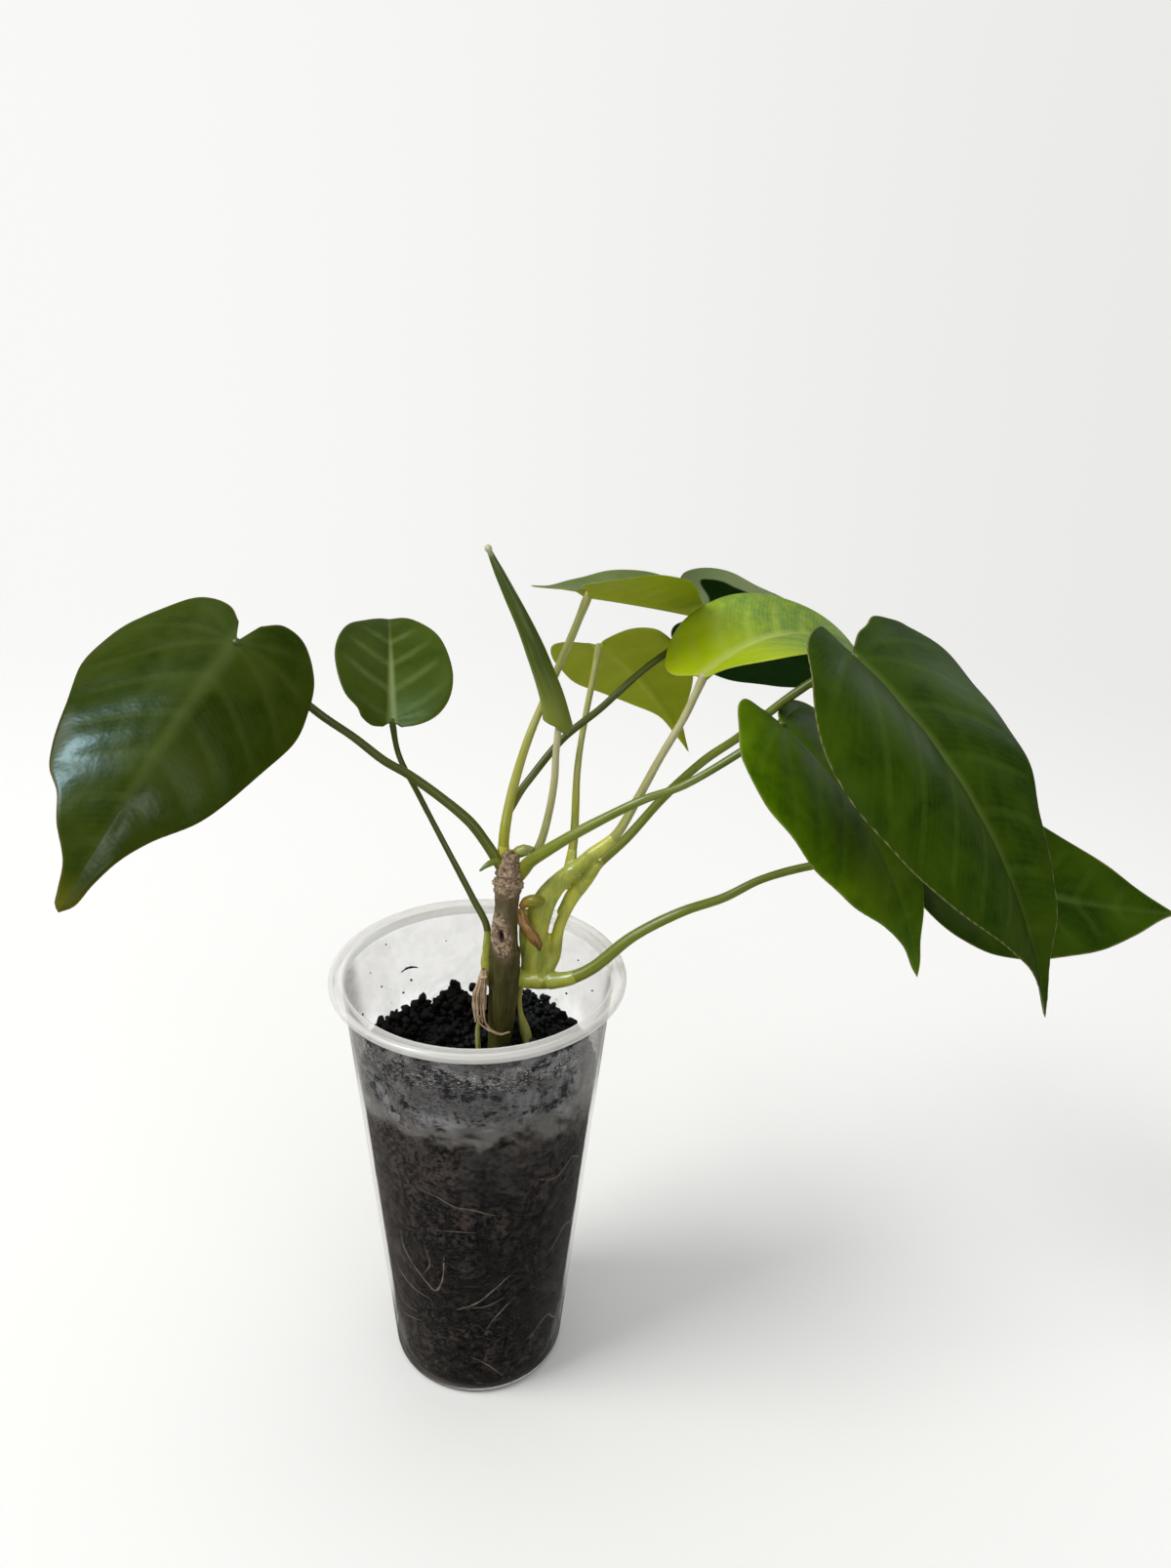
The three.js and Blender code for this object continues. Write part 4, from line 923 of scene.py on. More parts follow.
def stump_shape():
    """A bare stem with a notch on its right, a leaf scar in front and corky rings at its top."""
    rings, sides = 260, 90
    line = spline(STUMP_LINE, rings)
    angle = turns(sides)
    out = spokes(*frames_along(line)[1:], angle)
    z = line[:, None, 2]
    radius = listed(STUMP_RADII, np.linspace(0, 1, rings))[:, None] * np.ones(sides)
    front = np.arctan2(out[..., 0], -out[..., 1]) * radius
    rise = z - SCAR["height"]
    spot = np.hypot(front + SCAR["left"] + SCAR["lean"] * rise, SCAR["squash"] * rise) / SCAR["radius"]
    radius = radius + SCAR["rim_rise"] * np.exp(-9 * (spot - SCAR["rim"]) ** 2)
    radius = radius - SCAR["hollow"] * np.exp(-7 * spot ** 2)
    radius = radius + 0.16 * np.cos(3 * angle + 0.05 * z) + 0.12 * np.cos(5 * angle - 0.03 * z + 1)
    radius = radius + (STEP_FACE["depth"] * np.clip(out[..., 0], 0, 1)
                       * smooth_step(*STEP_FACE["top"], z) * smooth_step(*STEP_FACE["foot"], z))
    flat = (line[:, None] + out * radius[..., None]).reshape(-1, 3)
    rough = grain(flat, 2.6, 1, 4).reshape(rings, sides)
    bark = grain(flat * (1, 1, 0.25), 1.2, 5, 3).reshape(rings, sides)
    top = smooth_step(CORK_FROM, CORK_FULL, z + 2.4 * rough)
    worn_rings = np.sin(TURN * z / 2.9 + 1.5 * rough) + 0.6 * np.sin(TURN * z / 1.3 + 3 * bark)
    scar = np.exp(-4 * np.clip(spot - SCAR["rim"], 0, None) ** 2) * smooth_step(2.4, 1.6, spot)
    radius = radius + top * (0.7 * rough + 0.34 * worn_rings) + 0.14 * bark + 0.45 * scar * rough
    shape = tube(line, radius, sides)
    dome = np.ones(len(DOME_SHARES) * sides)
    for name, values in (("cork", np.maximum(top, scar)), ("hollow", np.exp(-5 * spot ** 2))):
        shape.fields[name] = np.concatenate(
            [values[0, 0] * dome, values.ravel(), values[-1, -1] * dome, [0, 1]])
    return shape


def bark_look():
    look = Look("corky_stem", Specular_IOR_Level=0.2)
    cork, hollow = look.value("cork"), look.value("hollow")
    height = look.split(look.place())[2] / MM
    streaks = look.noise(0.9, 4, 0.65, 0.2, look.flow(0.12))
    blotches = look.noise(0.3, 4, 0.65, 0.8, look.flow(0.5))
    crust = look.noise(420, 4, 0.6, 2.2)
    skin = look.cover(
        (0.045, 0.041, 0.006),
        (look.steps(streaks, 0.3, 0.75), (0.13, 0.108, 0.03)),
        (look.steps(blotches, 0.45, 0.7, 0, 0.6), (0.1, 0.1, 0.022)),
        (look.steps(height, 128, 150, 0.6, 0), (0.055, 0.056, 0.003)),
        (look.steps(height, 165, 182, 0, 0.6), (0.17, 0.12, 0.07)))
    scab = look.mix(look.steps(crust, 0.3, 0.72), (0.1, 0.06, 0.032), (0.52, 0.39, 0.26))
    colour = look.cover(skin, (cork, scab), (look.steps(hollow, 0.3, 0.8), (0.03, 0.012, 0.008)))
    relief = look.bump(crust, 0.35, 0.8, look.bump(streaks, 0.12, 0.35))
    return look.set(Base_Color=colour, Roughness=look.steps(cork, 0, 1, 0.55, 0.9), Normal=relief)


new_piece("old_stem", stump_shape(), bark_look(), ["stump"])


# Green shoots, grown together

VOXEL = 0.32
SMOOTH_ROUNDS = 6
# How much thicker than its petiole a sleeve is at its end, which so lies inside it
SLEEVE_END = -0.15


def melt(parts):
    """Runs tubes together into one smooth body."""
    whole = Shape.join(parts)
    mesh = bpy.data.meshes.new("parts")
    mesh.from_pydata(whole.points.tolist(), [], whole.faces)
    holder = add("parts", mesh)
    remesh = holder.modifiers.new("join", "REMESH")
    remesh.mode = "VOXEL"
    remesh.voxel_size = VOXEL
    even = holder.modifiers.new("even", "SMOOTH")
    even.factor = 0.5
    even.iterations = SMOOTH_ROUNDS
    done = bpy.data.meshes.new_from_object(holder.evaluated_get(bpy.context.evaluated_depsgraph_get()))
    points = np.empty(len(done.vertices) * 3)
    done.vertices.foreach_get("co", points)
    faces = [list(p.vertices) for p in done.polygons]
    bpy.data.objects.remove(holder)
    bpy.data.meshes.remove(mesh)
    bpy.data.meshes.remove(done)
    return Shape(points.reshape(-1, 3), faces)


def sleeve(number, length, extra=0.4):
    """The first stretch of a petiole, a little thicker than it, which wraps its foot."""
    leaf = LEAVES[number]
    line = petiole_line(leaf, 200)
    line = line[lengths(line) <= length]
    taper = np.linspace(extra, SLEEVE_END, len(line))
    return tube(line[::3], (leaf["radius"][0] + taper)[::3], PETIOLE_SIDES)


def shoot_look():
    look = Look("shoot", Roughness=0.32)
    spots = look.noise(110, 3, 0.6, 0.5)
    threads = look.noise(1300, 3, 0.6, 0.0, look.scaled(look.place(), 1, 1, 0.12))
    colour = look.cover(
        (0.31, 0.35, 0.035), (look.steps(spots, 0.3, 0.7), (0.56, 0.55, 0.05)),
        (look.steps(threads, 0.4, 0.75, 0, 0.35), (0.62, 0.64, 0.28)))
    return look.set(Base_Color=colour, Normal=look.bump(threads, 0.08, 0.5))


shoot_tubes = [soft_tube(s, 50, 24, 0.02, i)
               for i, s in enumerate((SHOOT_LEFT, SHOOT_RIGHT, SHOOT_BASE, SHOOT_INNER))]
sheath_tubes = [soft_tube(s, 40, 24, 0.02, i) for i, s in enumerate(SHEATHS)]
sleeves = [sleeve(6, 9, 0.5), sleeve(7, 10), sleeve(8, 9), sleeve(10, 9)]
shoot_green = shoot_look()
for name, parts, node in (
        ("green_shoot", shoot_tubes + sheath_tubes + sleeves, "shoot"),
        ("green_crown", [soft_tube(CROWN, 30, 24), sleeve(4, 10)], "crown"),
        ("side_bud", [soft_tube(LEFT_BUD, 30, 24), sleeve(2, 7)], "bud_left")):
    new_piece(name, melt(parts), shoot_green, [node])

for name, shape, kind, node in (
        ("pointed_bract", BRACT, "green_stem", "bract"),
        ("small_sprout", SPROUT, "lime_stem", "sprout"),
        ("air_root", AERIAL_ROOT, "lime_stem", "aerial_root"),
        ("rounded_bud", TOP_BUD, "lime_stem", "bud_top"),
        ("curled_tip", CURLED_NUB, "bud_skin", "curled_nub")):
    new_piece(name, soft_tube(shape, 40, 20, 0.03), stems[kind], [node])


# Dried remains

def dry_look(name, dark, light, edge):
    """Papery dead tissue with fibres that run its length."""
    look = Look(name, Specular_IOR_Level=0.3, Roughness=0.7)
    fibres = look.noise(2.2, 4, 0.7, 0.3, look.flow(0.12))
    patches = look.noise(400, 3, 0.6)
    # The shade value darkens the strands set back, as painted shade, and gives the flap its own dark border
    # and end.
    colour = look.cover(
        dark, (look.steps(fibres, 0.3, 0.7), light), (look.steps(patches, 0.5, 0.7, 0, 0.7), edge),
        (look.value("shade"), dark))
    return look.set(Base_Color=colour, Normal=look.bump(fibres, 0.35, 0.9))


def strands_shape():
    """Papery strands side by side, two of which loop round the front of the stem."""
    strands = []
    path, radii = (np.array(part, float) for part in DRIED_WRAP)
    stage = np.arange(len(path))
    spread = np.interp(stage, *WRAP_SPREAD)
    shift = np.interp(stage, *WRAP_SHIFT)
    for i, (across, back, wide, dark, loops) in enumerate(STRANDS):
        count = len(path) if loops else STRAND_POINTS - i % 2
        place = path + np.stack([across * spread + shift, np.full(len(path), back), 0 * spread], axis=1)
        thick = np.clip(radii * wide, *STRAND_LIMITS)
        strands.append((soft_tube((place[:count], thick[:count]), 60, 10, 0.15, i), dark))
    strands.append((soft_tube(WRAP_COLLAR, 20, 10, 0.2), 0))
    # Each strand's darkness, painted shade for the strands set back, is stored as its shade value.
    for strand, dark in strands:
        strand.fields["shade"] = np.full(len(strand.points), float(dark))
    return Shape.join([strand for strand, dark in strands])


def flap_shape():
    """A flat dry strip with a dark border, turned a little as it goes down."""
    rings, sides = 60, 20
    line = spline(FLAP["line"], rings)
    t = np.linspace(0, 1, rings)[:, None]
    shape = tube(line, np.ones(rings), sides, dome=False)
    ahead, first, second = frames_along(line)
    angle = turns(sides)
    turn = FLAP["twist"] * t
    wide = first * np.cos(turn) + second * np.sin(turn)
    thin = np.cross(ahead, wide)
    width = listed(FLAP["widths"], t) * (1 + 0.08 * np.sin(31 * t + 1))
    body = (line[:, None] + (wide * width)[:, None] * np.cos(angle)[:, None]
            + thin[:, None] * FLAP["thickness"] * (np.sin(angle) + 0.5 * np.cos(2 * angle))[:, None])
    shape.points[:-2] = body.reshape(-1, 3)
    border = np.clip(np.abs(np.cos(angle)) * 3 - 2.2, 0, 0.85) + smooth_step(0.72, 0.95, t) * 0.6
    shape.fields["shade"] = np.concatenate([np.clip(border, 0, 1).ravel(), [0.5, 1]])
    return shape


papery = dry_look("dry_wrap", (0.16, 0.08, 0.035), (0.98, 0.74, 0.48), (0.8, 0.52, 0.29))
new_piece("dry_wrap", strands_shape(), papery, ["dried_wrap"])
rusty = dry_look("dry_flap", (0.09, 0.045, 0.008), (0.62, 0.36, 0.12), (0.34, 0.15, 0.015))
new_piece("dry_flap", flap_shape(), rusty, ["dried_sheath"])


# Cup

LIP_LOW = CUP["height"] - CUP["lip"]
# How far the lip's rounded bead stands out
BEAD = 1.5


def wall_outside(z):
    return CUP["base"] + (CUP["neck"] - CUP["base"]) * z / LIP_LOW


def wall_inside(z):
    return wall_outside(z) - CUP["wall"]


def cup_outline():
    """From the middle of the underside out, up the wall, over the lip and down inside to the floor."""
    top, rim, neck, foot = CUP["height"], CUP["rim"], CUP["neck"], CUP["foot_round"]
    inner, outer, depth = CUP["groove_inner"], CUP["groove_outer"], CUP["groove_depth"]
    half_lip = CUP["lip"] / 2
    foot_turn = [k / 6 * math.pi / 2 for k in range(1, 7)]
    lip_turn = [k / 12 * math.pi - math.pi / 2 for k in range(13)]
    return [
        (0, 0), (inner, 0), (inner + 0.6, depth), (outer - 0.6, depth), (outer, 0), (CUP["base"] - foot, 0),
        *((CUP["base"] - foot + foot * math.sin(a), foot - foot * math.cos(a)) for a in foot_turn),
        *((wall_outside(z), z) for z in np.linspace(foot + 1, LIP_LOW - 2, 40)),
        (neck - 0.02, LIP_LOW - 0.7), (neck + 0.35, LIP_LOW - 0.15), (neck + 1.0, LIP_LOW),
        (rim - 1.4, LIP_LOW),
        *((rim - BEAD + BEAD * math.cos(a), top - half_lip + half_lip * math.sin(a)) for a in lip_turn),
        (rim - 2.6, top - 0.35), (rim - 3.1, top - 0.55), (neck + 0.9, top - 0.55), (neck + 0.35, top - 0.3),
        (neck - 0.15, top - 0.35), (neck - 0.7, top - 0.9), (wall_inside(LIP_LOW) + 0.25, LIP_LOW - 0.5),
        *((wall_inside(z), z) for z in np.linspace(LIP_LOW - 3, CUP["floor"] + foot + 1, 40)),
        (wall_inside(0) - 0.6, CUP["floor"] + 0.8), (wall_inside(0) - foot, CUP["floor"]), (0, CUP["floor"])]


def cup_look():
    """Clear plastic with a film, grime and specks above the soil, a grey haze with painted sheen on its
    sides, a pale lip that is partly painted highlight, and a dark foot with a painted glint.

    Heights and places are in millimetres."""
    look = Look("cup_plastic", Roughness=0.25, IOR=1.5)
    x, y, z = (part / MM for part in look.split(look.place()))
    radius = look.math("SQRT", x * x + y * y)
    grazing = look.node("LayerWeight", "Facing", {"Blend": 0.5})
    cloud = look.noise(45, 5, 0.65, 1.2)
    scuff = look.noise(240, 6, 0.75, 2.5)
    tall = look.scaled(look.place(), 0.6, 0.6, 1.5)
    smear = look.noise(80, 4, 0.65, 1.6, tall)
    flecks = look.noise(500, 5, 0.74, 2.4, tall)
    crust = smear * 0.5 + (look.noise(290, 6, 0.8, 0.4) - 0.25)
    from_speck = look.node("TexVoronoi", "Distance", {"Vector": look.place(), "Scale": 330})

    # The wall above the soil, with an uneven lower border
    level = z + (cloud * 36 - 18)
    above = look.steps(level, 113.5, 126.5)
    front = look.steps(y, -12, -31)
    film = look.steps(z, 150.5, 148.5) * above * look.steps(front, 0, 1, 0.05, 1)
    haze = film * look.steps(crust, 0.42, 0.6)
    grime = film * look.steps(crust, 0.56, 0.44)
    belt = look.band(z, 135, 140.5, 144, 147.5)
    marks = look.steps(flecks, 0.52, 0.6, 0, 0.85) * look.steps(belt, 0, 1, 0.15, 1)
    marks = marks * look.steps(scuff, 0.4, 0.6, 0.1, 1) * film
    dirt = look.steps(from_speck, 0.13, 0.06) * look.steps(cloud, 0.5, 0.6) * above * look.steps(z, 148, 120)
    # A grey haze on the wall's sides, where it turns away from the front: partly the plastic's own haze and
    # partly painted sheen.
    side_haze_and_sheen = look.band(y, -31, -12, 2, 12) * look.steps(level, 106, 122)
    side_haze_and_sheen = side_haze_and_sheen * look.steps(smear, 0.35, 0.65, 0.55, 1.05) * look.steps(z, 151.5, 149)
    mist = look.steps(z, 85, 118) * look.steps(cloud, 0.4, 0.65, 0, 0.05)

    # The lip, with a thinner ledge and bead, and the foot. The lip's near-white is partly the thick
    # plastic's own paleness and partly painted highlight; the glint low on the foot, stronger on the right,
    # is a painted highlight.
    lip = look.steps(z, 149.7, 150.8)
    ledge = look.band(radius, 43.2, 43.8, 45.5, 46.2)
    bead = look.band(z, 151.1, 151.6, 152.7, 153.3) * look.steps(radius, 45.5, 46.5)
    lip_alpha = bead * -0.16 + (ledge * -0.24 + 0.56)
    foot = look.steps(z, 3.6, 2.6)
    foot_flank = look.steps(z, 30, 8) * look.steps(grazing, 0.7, 0.9)
    glint = look.band(z, 1.4, 1.7, 2.5, 2.9) * look.steps(x, -16, 6, 0.25, 1)
    glint = glint * look.steps(scuff, 0.3, 0.5, 0.5, 1)

    alpha = above * 0.065 + (mist + 0.01) + haze * 0.34 + grime * 0.78 + marks * 0.4
    alpha = look.math("MAXIMUM", alpha, dirt * 0.7)
    alpha = alpha + look.math("POWER", grazing, 4) * look.steps(above, 0, 1, 0.18, 0.3) + side_haze_and_sheen * 0.38
    for zone, most in ((foot_flank, 0.85), (foot, 0.94), (lip, lip_alpha)):
        alpha = look.math("MAXIMUM", alpha, zone * most)
    pale = look.cover(
        (0.08, 0.083, 0.092), (look.steps(cloud, 0.42, 0.62), (0.36, 0.37, 0.39)),
        (look.steps(scuff, 0.5, 0.65, 0, 0.7), (0.3, 0.27, 0.26)))
    # Among these colours the side haze carries painted sheen, the glint is a painted highlight, and the
    # lip's near-white is partly painted highlight.
    colour = look.cover(
        (0.42, 0.39, 0.35), (haze, pale), (grime, (0.014, 0.015, 0.018)), (marks, (0.56, 0.52, 0.5)),
        (dirt, (0.02, 0.016, 0.014)), (side_haze_and_sheen * 0.75, (0.46, 0.45, 0.43)),
        (look.math("MAXIMUM", foot, foot_flank), (0.012, 0.0105, 0.011)), (glint, (0.62, 0.6, 0.56)),
        (look.steps(z, 1.3, 0.9), (0.16, 0.15, 0.14)), (lip, (0.93, 0.915, 0.88)))
    return look.set(Base_Color=colour, Alpha=alpha, Normal=look.bump(cloud, 0.15, 0.3))


new_piece("cup_shell", lathe(cup_outline(), 176), cup_look(), ["cup"])


# Soil

def soil_top(x, y):
    cx, cy = SOIL["centre"]
    away = np.hypot(x - cx, y - cy) / SOIL["mound_radius"]
    broad = np.sin(x * 0.55 + y * 0.2) * np.cos(y * 0.6 - x * 0.15)
    fine = 0.6 * np.sin(x * 1.1 - y * 0.9 + 1.3)
    return SOIL["edge"] + SOIL["mound"] * np.exp(-away * away) + SOIL["lump"] * (broad + fine)


def heap_height(x, y):
    heaps = [tall * np.exp(-((x - cx) ** 2 + (y - cy) ** 2) / wide ** 2) for cx, cy, tall, wide in HEAPS]
    return np.max(heaps, axis=0)


SOIL_SKIN = {
    "gap": 0.4, "rim_gap": 0.45, "lumps": 0.9, "sunk": 0.4, "heaps": 0.7, "pits": 1.3, "pits_from": 0.12,
    "foot_gap": 0.3, "foot_shrink": 0.95, "foot_height": 1.3,
}


def soil_shape():
    """The body of soil: a lumpy top, and sides that press against the wall with small hollows."""
    sectors, top_rings, side_rings = 220, 46, 150
    around = np.stack([np.cos(turns(sectors)), np.sin(turns(sectors))], axis=1)
    edge = wall_inside(SOIL["edge"]) - SOIL_SKIN["rim_gap"]
    plan = around * (edge * np.arange(1, top_rings + 1) / top_rings)[:, None, None]
    x, y = plan[..., 0], plan[..., 1]
    z = soil_top(x, y)
    flat = np.stack([x, y, 0 * z], axis=-1).reshape(-1, 3)
    z += (SOIL_SKIN["lumps"] * grain(flat, 2.4, 3, 3) - SOIL_SKIN["sunk"]).reshape(z.shape)
    z += SOIL_SKIN["heaps"] * heap_height(x, y) * np.linspace(1, 0.2, top_rings)[:, None] ** 0.3
    top = np.stack([x, y, z], axis=-1)

    bottom = SOIL["bottom"] + SOIL_SKIN["foot_gap"]
    high, low = SOIL["edge"] - SOIL_SKIN["gap"], bottom + SOIL_SKIN["foot_height"]
    z = (high + (low - high) * np.arange(1, side_rings + 1) / side_rings)[:, None, None]
    radius = wall_inside(z) - SOIL_SKIN["gap"]
    side = np.concatenate([around * radius, z * np.ones((1, sectors, 1))], axis=-1)
    pits = grain(side.reshape(-1, 3), 3.2, 8, 4).reshape(side_rings, sectors, 1)
    side[..., :2] *= 1 - SOIL_SKIN["pits"] * np.clip(pits - SOIL_SKIN["pits_from"], 0, 1) / radius
    shrink = SOIL_SKIN["foot_shrink"]
    foot = side[-1] * (shrink, shrink, 1) - (0, 0, SOIL_SKIN["foot_height"])
    tips = [[0, 0, float(soil_top(0, 0))], [0, 0, bottom]]
    return closed_rings(np.concatenate([top, side, foot[None]]), tips, down=True)


def ball(rounds):
    body = bmesh.new()
    bmesh.ops.create_icosphere(body, subdivisions=rounds, radius=1)
    points = np.array([v.co[:] for v in body.verts])
    faces = [[v.index for v in f.verts] for f in body.faces]
    body.free()
    return points, faces


CRUMBS = 1700
CRUMB_SIZES = (0.8, 1.1, 1.45)
LARGE_CRUMB = 1.35
CRUMB_GAP = 1.0
# Where the stem goes into the soil: how far to the right, and its radius there
STEM_FOOT = (6.4, 3.4)


def crumbs_shape():
    """Loose crumbs on the soil, each a small lumpy ball, piled up in a few places."""
    chance = np.random.default_rng(7)
    small, large = ball(1), ball(2)
    shapes = []
    edge = wall_inside(SOIL["edge"]) - CRUMB_GAP
    stem_x, stem_radius = STEM_FOOT
    for i in range(CRUMBS):
        size = chance.choice(CRUMB_SIZES, p=[0.3, 0.45, 0.25]) * chance.uniform(0.85, 1.2)
        if i % 5 < 3:
            radius, angle = (edge - size) * math.sqrt(chance.uniform(0, 1)), chance.uniform(0, TURN)
            x, y = radius * math.cos(angle), radius * math.sin(angle)
        else:
            cx, cy, tall, wide = HEAPS[i // 5 % len(HEAPS)]
            x, y = (cx, cy) + chance.normal(0, 0.5 * wide, 2)
        if math.hypot(x - stem_x, y) < stem_radius + 0.6 * size or math.hypot(x, y) > edge - size:
            continue
        points, faces = large if size > LARGE_CRUMB else small
        lumps = 1 + 0.13 * chance.standard_normal(len(points))
        body = points * lumps[:, None] * chance.uniform(0.8, 1.15, 3) * size
        lift = chance.choice([0.1, 0.9, 1.5], p=[0.6, 0.3, 0.1]) * size
        lift += chance.uniform(0.45, 0.75) * heap_height(x, y)
        shapes.append(Shape(body + (x, y, float(soil_top(x, y)) + lift), faces))
    return Shape.join(shapes)


def soil_look():
    look = Look("soil", Specular_IOR_Level=0.03)
    x, y, z = (part / MM for part in look.split(look.place()))
    clods = look.noise(520, 6, 0.78, 0.3)
    grit = look.noise(900, 4, 0.75)
    # Painted light: the soil is made lighter towards the left, where the light comes from, and darker
    # towards the right.
    broad = look.noise(55, 3, 0.6, 0.5) + look.steps(x, -30, 12, 0.12, -0.05)
    # More of the black blots lower down in the soil.
    blots_lower = look.steps(z, 12, 115, 0.055, 0)
    dark = look.noise(110, 4, 0.7, 1.2) * 0.32 + (blots_lower - 0.15) + clods
    colour = look.cover(
        (0.014, 0.0117, 0.0117), (look.steps(broad, 0.35, 0.65), (0.052, 0.038, 0.033)),
        (look.steps(grit, 0.53, 0.66, 0, 0.6), (0.085, 0.067, 0.058)),
        (look.steps(dark, 0.455, 0.555), (0.0011, 0.001, 0.0014)),
        (look.steps(z, 115, 119, 0, 0.8), (0.004, 0.0035, 0.003)))
    relief = look.bump(grit, 0.5, 0.8, look.bump(clods, 1.0, 0.6))
    return look.set(Base_Color=colour, Roughness=look.steps(grit, 0.3, 0.7, 0.5, 0.95), Normal=relief)


def crumb_look():
    look = Look("soil_crumbs", Specular_IOR_Level=0.22)
    grit = look.noise(1200, 4, 0.7)
    colour = look.mix(look.steps(grit, 0.4, 0.75), (0.0015, 0.0013, 0.0012), (0.012, 0.0095, 0.008))
    return look.set(Base_Color=colour, Roughness=look.steps(grit, 0.3, 0.7, 0.4, 0.85),
                    Normal=look.bump(grit, 0.4, 0.8))


crumb_skin = crumb_look()
new_piece("soil_body", soil_shape(), soil_look(), ["soil"])
new_piece("soil_crumbs", crumbs_shape(), crumb_skin)


# Roots and specks against the wall

# Between a root and the wall
WALL_GAP = 0.25


def on_wall(degrees, z, inset):
    out, angle = wall_inside(z) - inset, math.radians(degrees)
    return out * math.cos(angle), out * math.sin(angle), z


def root_shape(radius, route, count=60):
    """A root that follows the inside of the wall, thinner at both ends."""
    inset = WALL_GAP + radius
    line = spline([on_wall(degrees, z, inset) for degrees, z in route], count)
    line[:, :2] *= ((wall_inside(line[:, 2]) - inset) / np.linalg.norm(line[:, :2], axis=1))[:, None]
    t = np.linspace(0, 1, count)
    swell = radius * (0.35 + 0.65 * np.sin(math.pi * np.clip(t, 0.08, 0.92)))
    return tube(line, swell * (1 + 0.15 * np.sin(23 * t + radius)), 10)


def specks_shape():
    points, faces = ball(1)
    specks = [Shape(points * size + on_wall(degrees, z, 0.6 * size), faces)
              for degrees, z, size in WALL_SPECKS]
    return Shape.join([root_shape(*WALL_FIBRE, 30), *specks])


def root_look():
    look = Look("root", Specular_IOR_Level=0.4, Roughness=0.6)
    lines = look.noise(1.5, 3, 0.6, 0.0, look.flow(0.3))
    colour = look.mix(look.steps(lines, 0.35, 0.7), (0.045, 0.032, 0.02), (0.24, 0.185, 0.11))
    return look.set(Base_Color=colour, Normal=look.bump(lines, 0.1, 0.5))


# The roots and the fine ones are thinner than their radii above say, by these shares.
ROOT_SHARE, FINE_ROOT_SHARE = 0.38, 0.45

root_skin = root_look()
for i, (radius, route) in enumerate(WALL_ROOTS, 1):
    new_piece(f"root_{i}", root_shape(ROOT_SHARE * radius, route), root_skin, [f"wall_root_{i}"])
fine_roots = Shape.join([root_shape(FINE_ROOT_SHARE * radius, route) for radius, route in FINE_ROOTS])
new_piece("fine_roots", fine_roots, root_skin)
new_piece("wall_specks", specks_shape(), crumb_skin)


# Floor, light and camera

FLOOR_RADIUS = 1.5
FLOOR_DROP = 0.0002


def floor_look():
    look = Look("floor", Specular_IOR_Level=0.0, Roughness=0.9)
    away = look.node("VectorMath", "Value", {0: look.place()}, operation="LENGTH")
    colour = look.mix(look.noise(2.0, 2, 0.5), (0.865, 0.865, 0.85), (0.88, 0.88, 0.865))
    return look.set(Base_Color=colour, Alpha=look.steps(away, 0.35, 1.2, 1, 0))


floor_mesh = bpy.data.meshes.new("floor")
rim_points = [(FLOOR_RADIUS * math.cos(a), FLOOR_RADIUS * math.sin(a), -FLOOR_DROP) for a in turns(64)]
floor_mesh.from_pydata(rim_points, [], [list(range(64))])
floor_mesh.materials.append(floor_look())
floor = add("floor", floor_mesh)
floor.visible_glossy = False

# The world: a pale backdrop for the camera, painted lighter on the left, where the light comes from, and
# darker to the right; soft light all round, and darker reflections.
world = bpy.data.worlds.new("studio")
bpy.context.scene.world = world
world.use_nodes = True
world.node_tree.nodes.clear()
sky = Graph(world.node_tree)
x, y, z = sky.split(sky.node("TexCoord", "Generated"))
backdrop = sky.mix(sky.steps(x, -0.45, 0.55), (0.945, 0.945, 0.93), (0.82, 0.815, 0.8))
soft = sky.mix(sky.steps(z, -0.1, 0.9), (0.485, 0.485, 0.48), (0.61, 0.61, 0.62))
mirrored = sky.mix(sky.steps(y, 0.3, 0.95), (0.1, 0.11, 0.11), (0.34, 0.36, 0.34))
lit = sky.mix(sky.node("LightPath", "Is Glossy Ray"), soft, mirrored)
seen = sky.mix(sky.node("LightPath", "Is Camera Ray"), lit, backdrop)
output = world.node_tree.nodes.new("ShaderNodeOutputWorld")
sky.plug(output.inputs["Surface"], sky.node("Background", 0, {"Color": seen}))


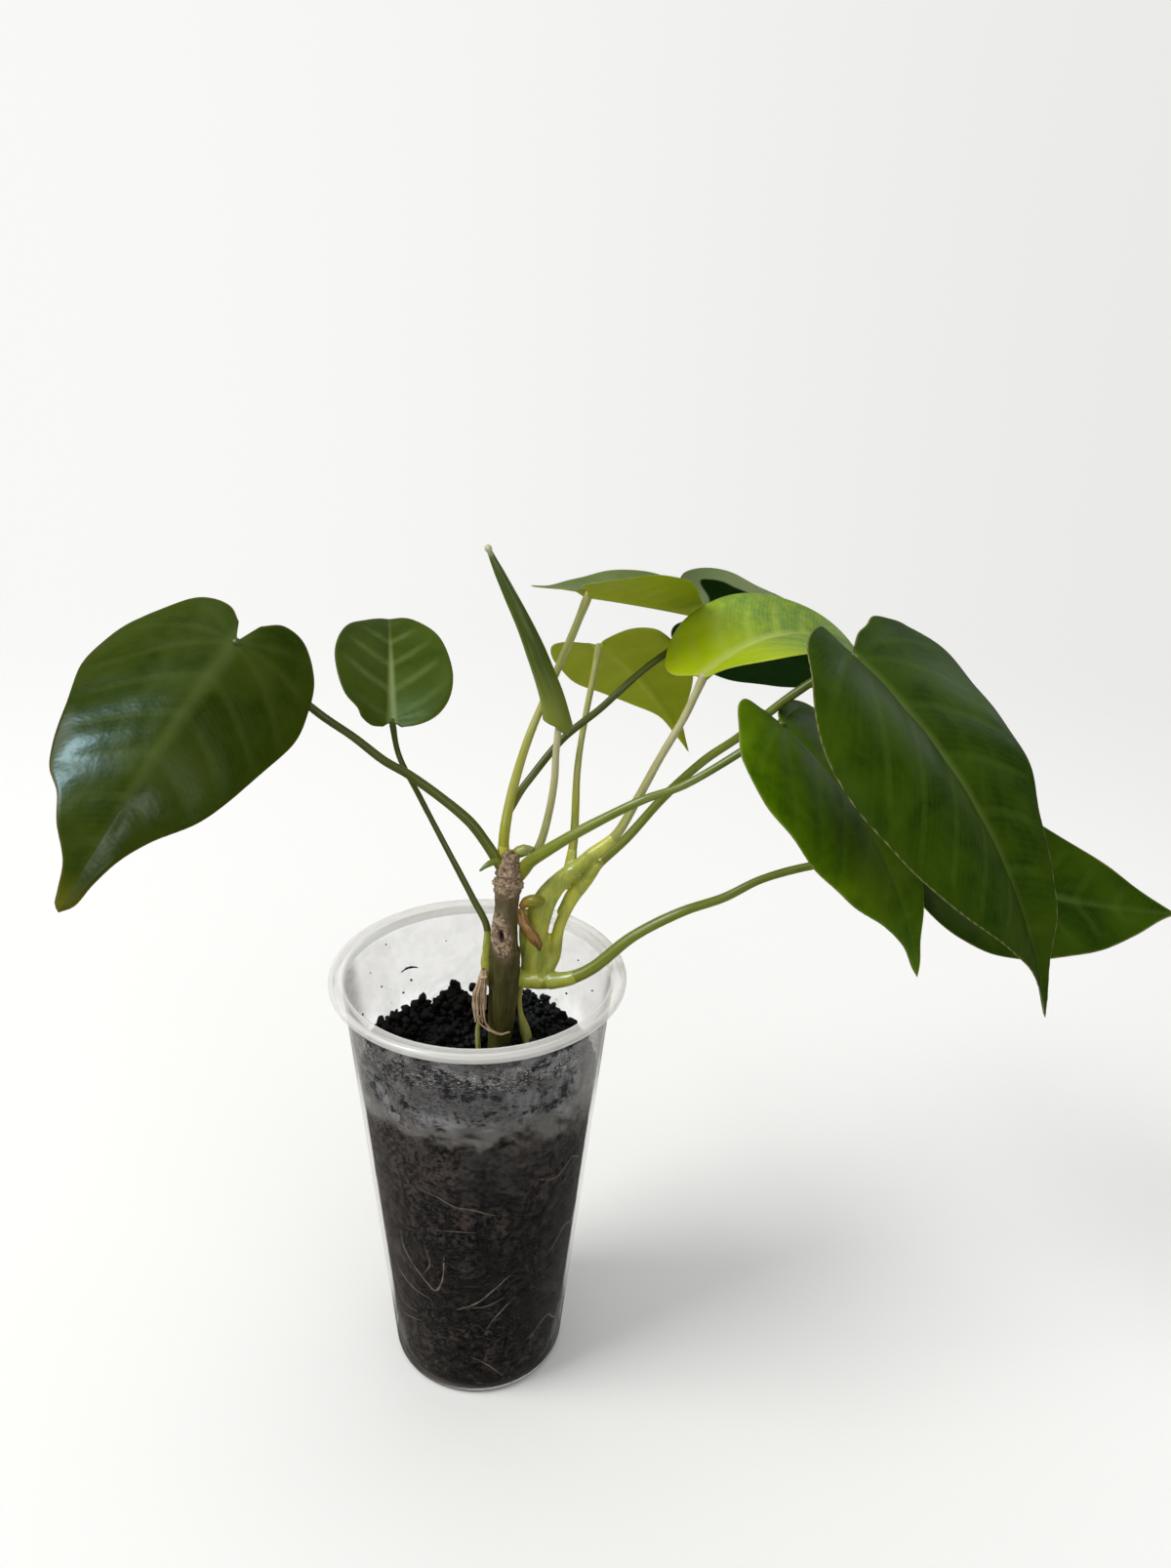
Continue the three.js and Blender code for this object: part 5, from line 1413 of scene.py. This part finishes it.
def soft_light(name, place, target, size, watts, colour):
    lamp = bpy.data.lights.new(name, "AREA")
    lamp.shape = "RECTANGLE"
    lamp.size, lamp.size_y = size
    lamp.energy = watts
    lamp.color = colour
    light = add(name, lamp)
    light.location = place
    light.rotation_euler = (Vector(target) - Vector(place)).to_track_quat("-Z", "Y").to_euler()
    light.visible_camera = False
    return light


def window(name, target, way, distance, size, watts, colour):
    """A bright pane that is only seen mirrored in glossy surfaces."""
    place = Vector(target) + Vector(way).normalized() * distance
    pane = soft_light(name, place, target, size, watts, colour)
    pane.visible_diffuse = False
    pane.visible_transmission = False


soft_light("key", (-2.5, -0.85, 2.7), (0.02, 0, 0.12), (1.9, 1.9), 94, (1, 0.985, 0.96))
soft_light("fill", (0.9, -1.5, 1.4), (0.05, 0, 0.15), (1.6, 1.2), 4, (0.96, 0.98, 1))
soft_light("top", (0.2, 0.6, 2.0), (0.05, 0, 0.1), (2.0, 1.6), 5, (1, 1, 1))
window("left_window", (-0.105, -0.04, 0.235), (-0.47, -0.3, 0.83), 1.5, (0.2, 0.42), 30, (0.55, 0.78, 1))
window("front_window", (-0.091, -0.05, 0.222), (0.57, -0.74, 0.35), 1.5, (0.16, 0.26), 6, (0.9, 0.97, 1))
window("back_window", (0.12, 0, 0.24), (0.68, 0.67, 0.3), 1.6, (0.3, 0.5), 2.0, (0.85, 0.95, 0.95))

PITCH, ROLL = math.radians(22.8), math.radians(2.1)
EYE = (0.032, -0.325, 0.356)
ahead = Vector((0, math.cos(PITCH), -math.sin(PITCH)))
level_up = Vector((0, math.sin(PITCH), math.cos(PITCH)))
right = Vector((1, 0, 0)) * math.cos(ROLL) + level_up * math.sin(ROLL)
up = level_up * math.cos(ROLL) - Vector((1, 0, 0)) * math.sin(ROLL)
lens = bpy.data.cameras.new("camera")
lens.lens = 27.04
lens.sensor_width = 36
lens.clip_start = 0.01
camera = add("camera", lens)
camera.matrix_world = Matrix.Translation(EYE) @ Matrix((right, up, -ahead)).transposed().to_4x4()
bpy.context.scene.camera = camera
bpy.context.scene.view_settings.view_transform = "Standard"
bpy.context.scene.view_settings.look = "None"
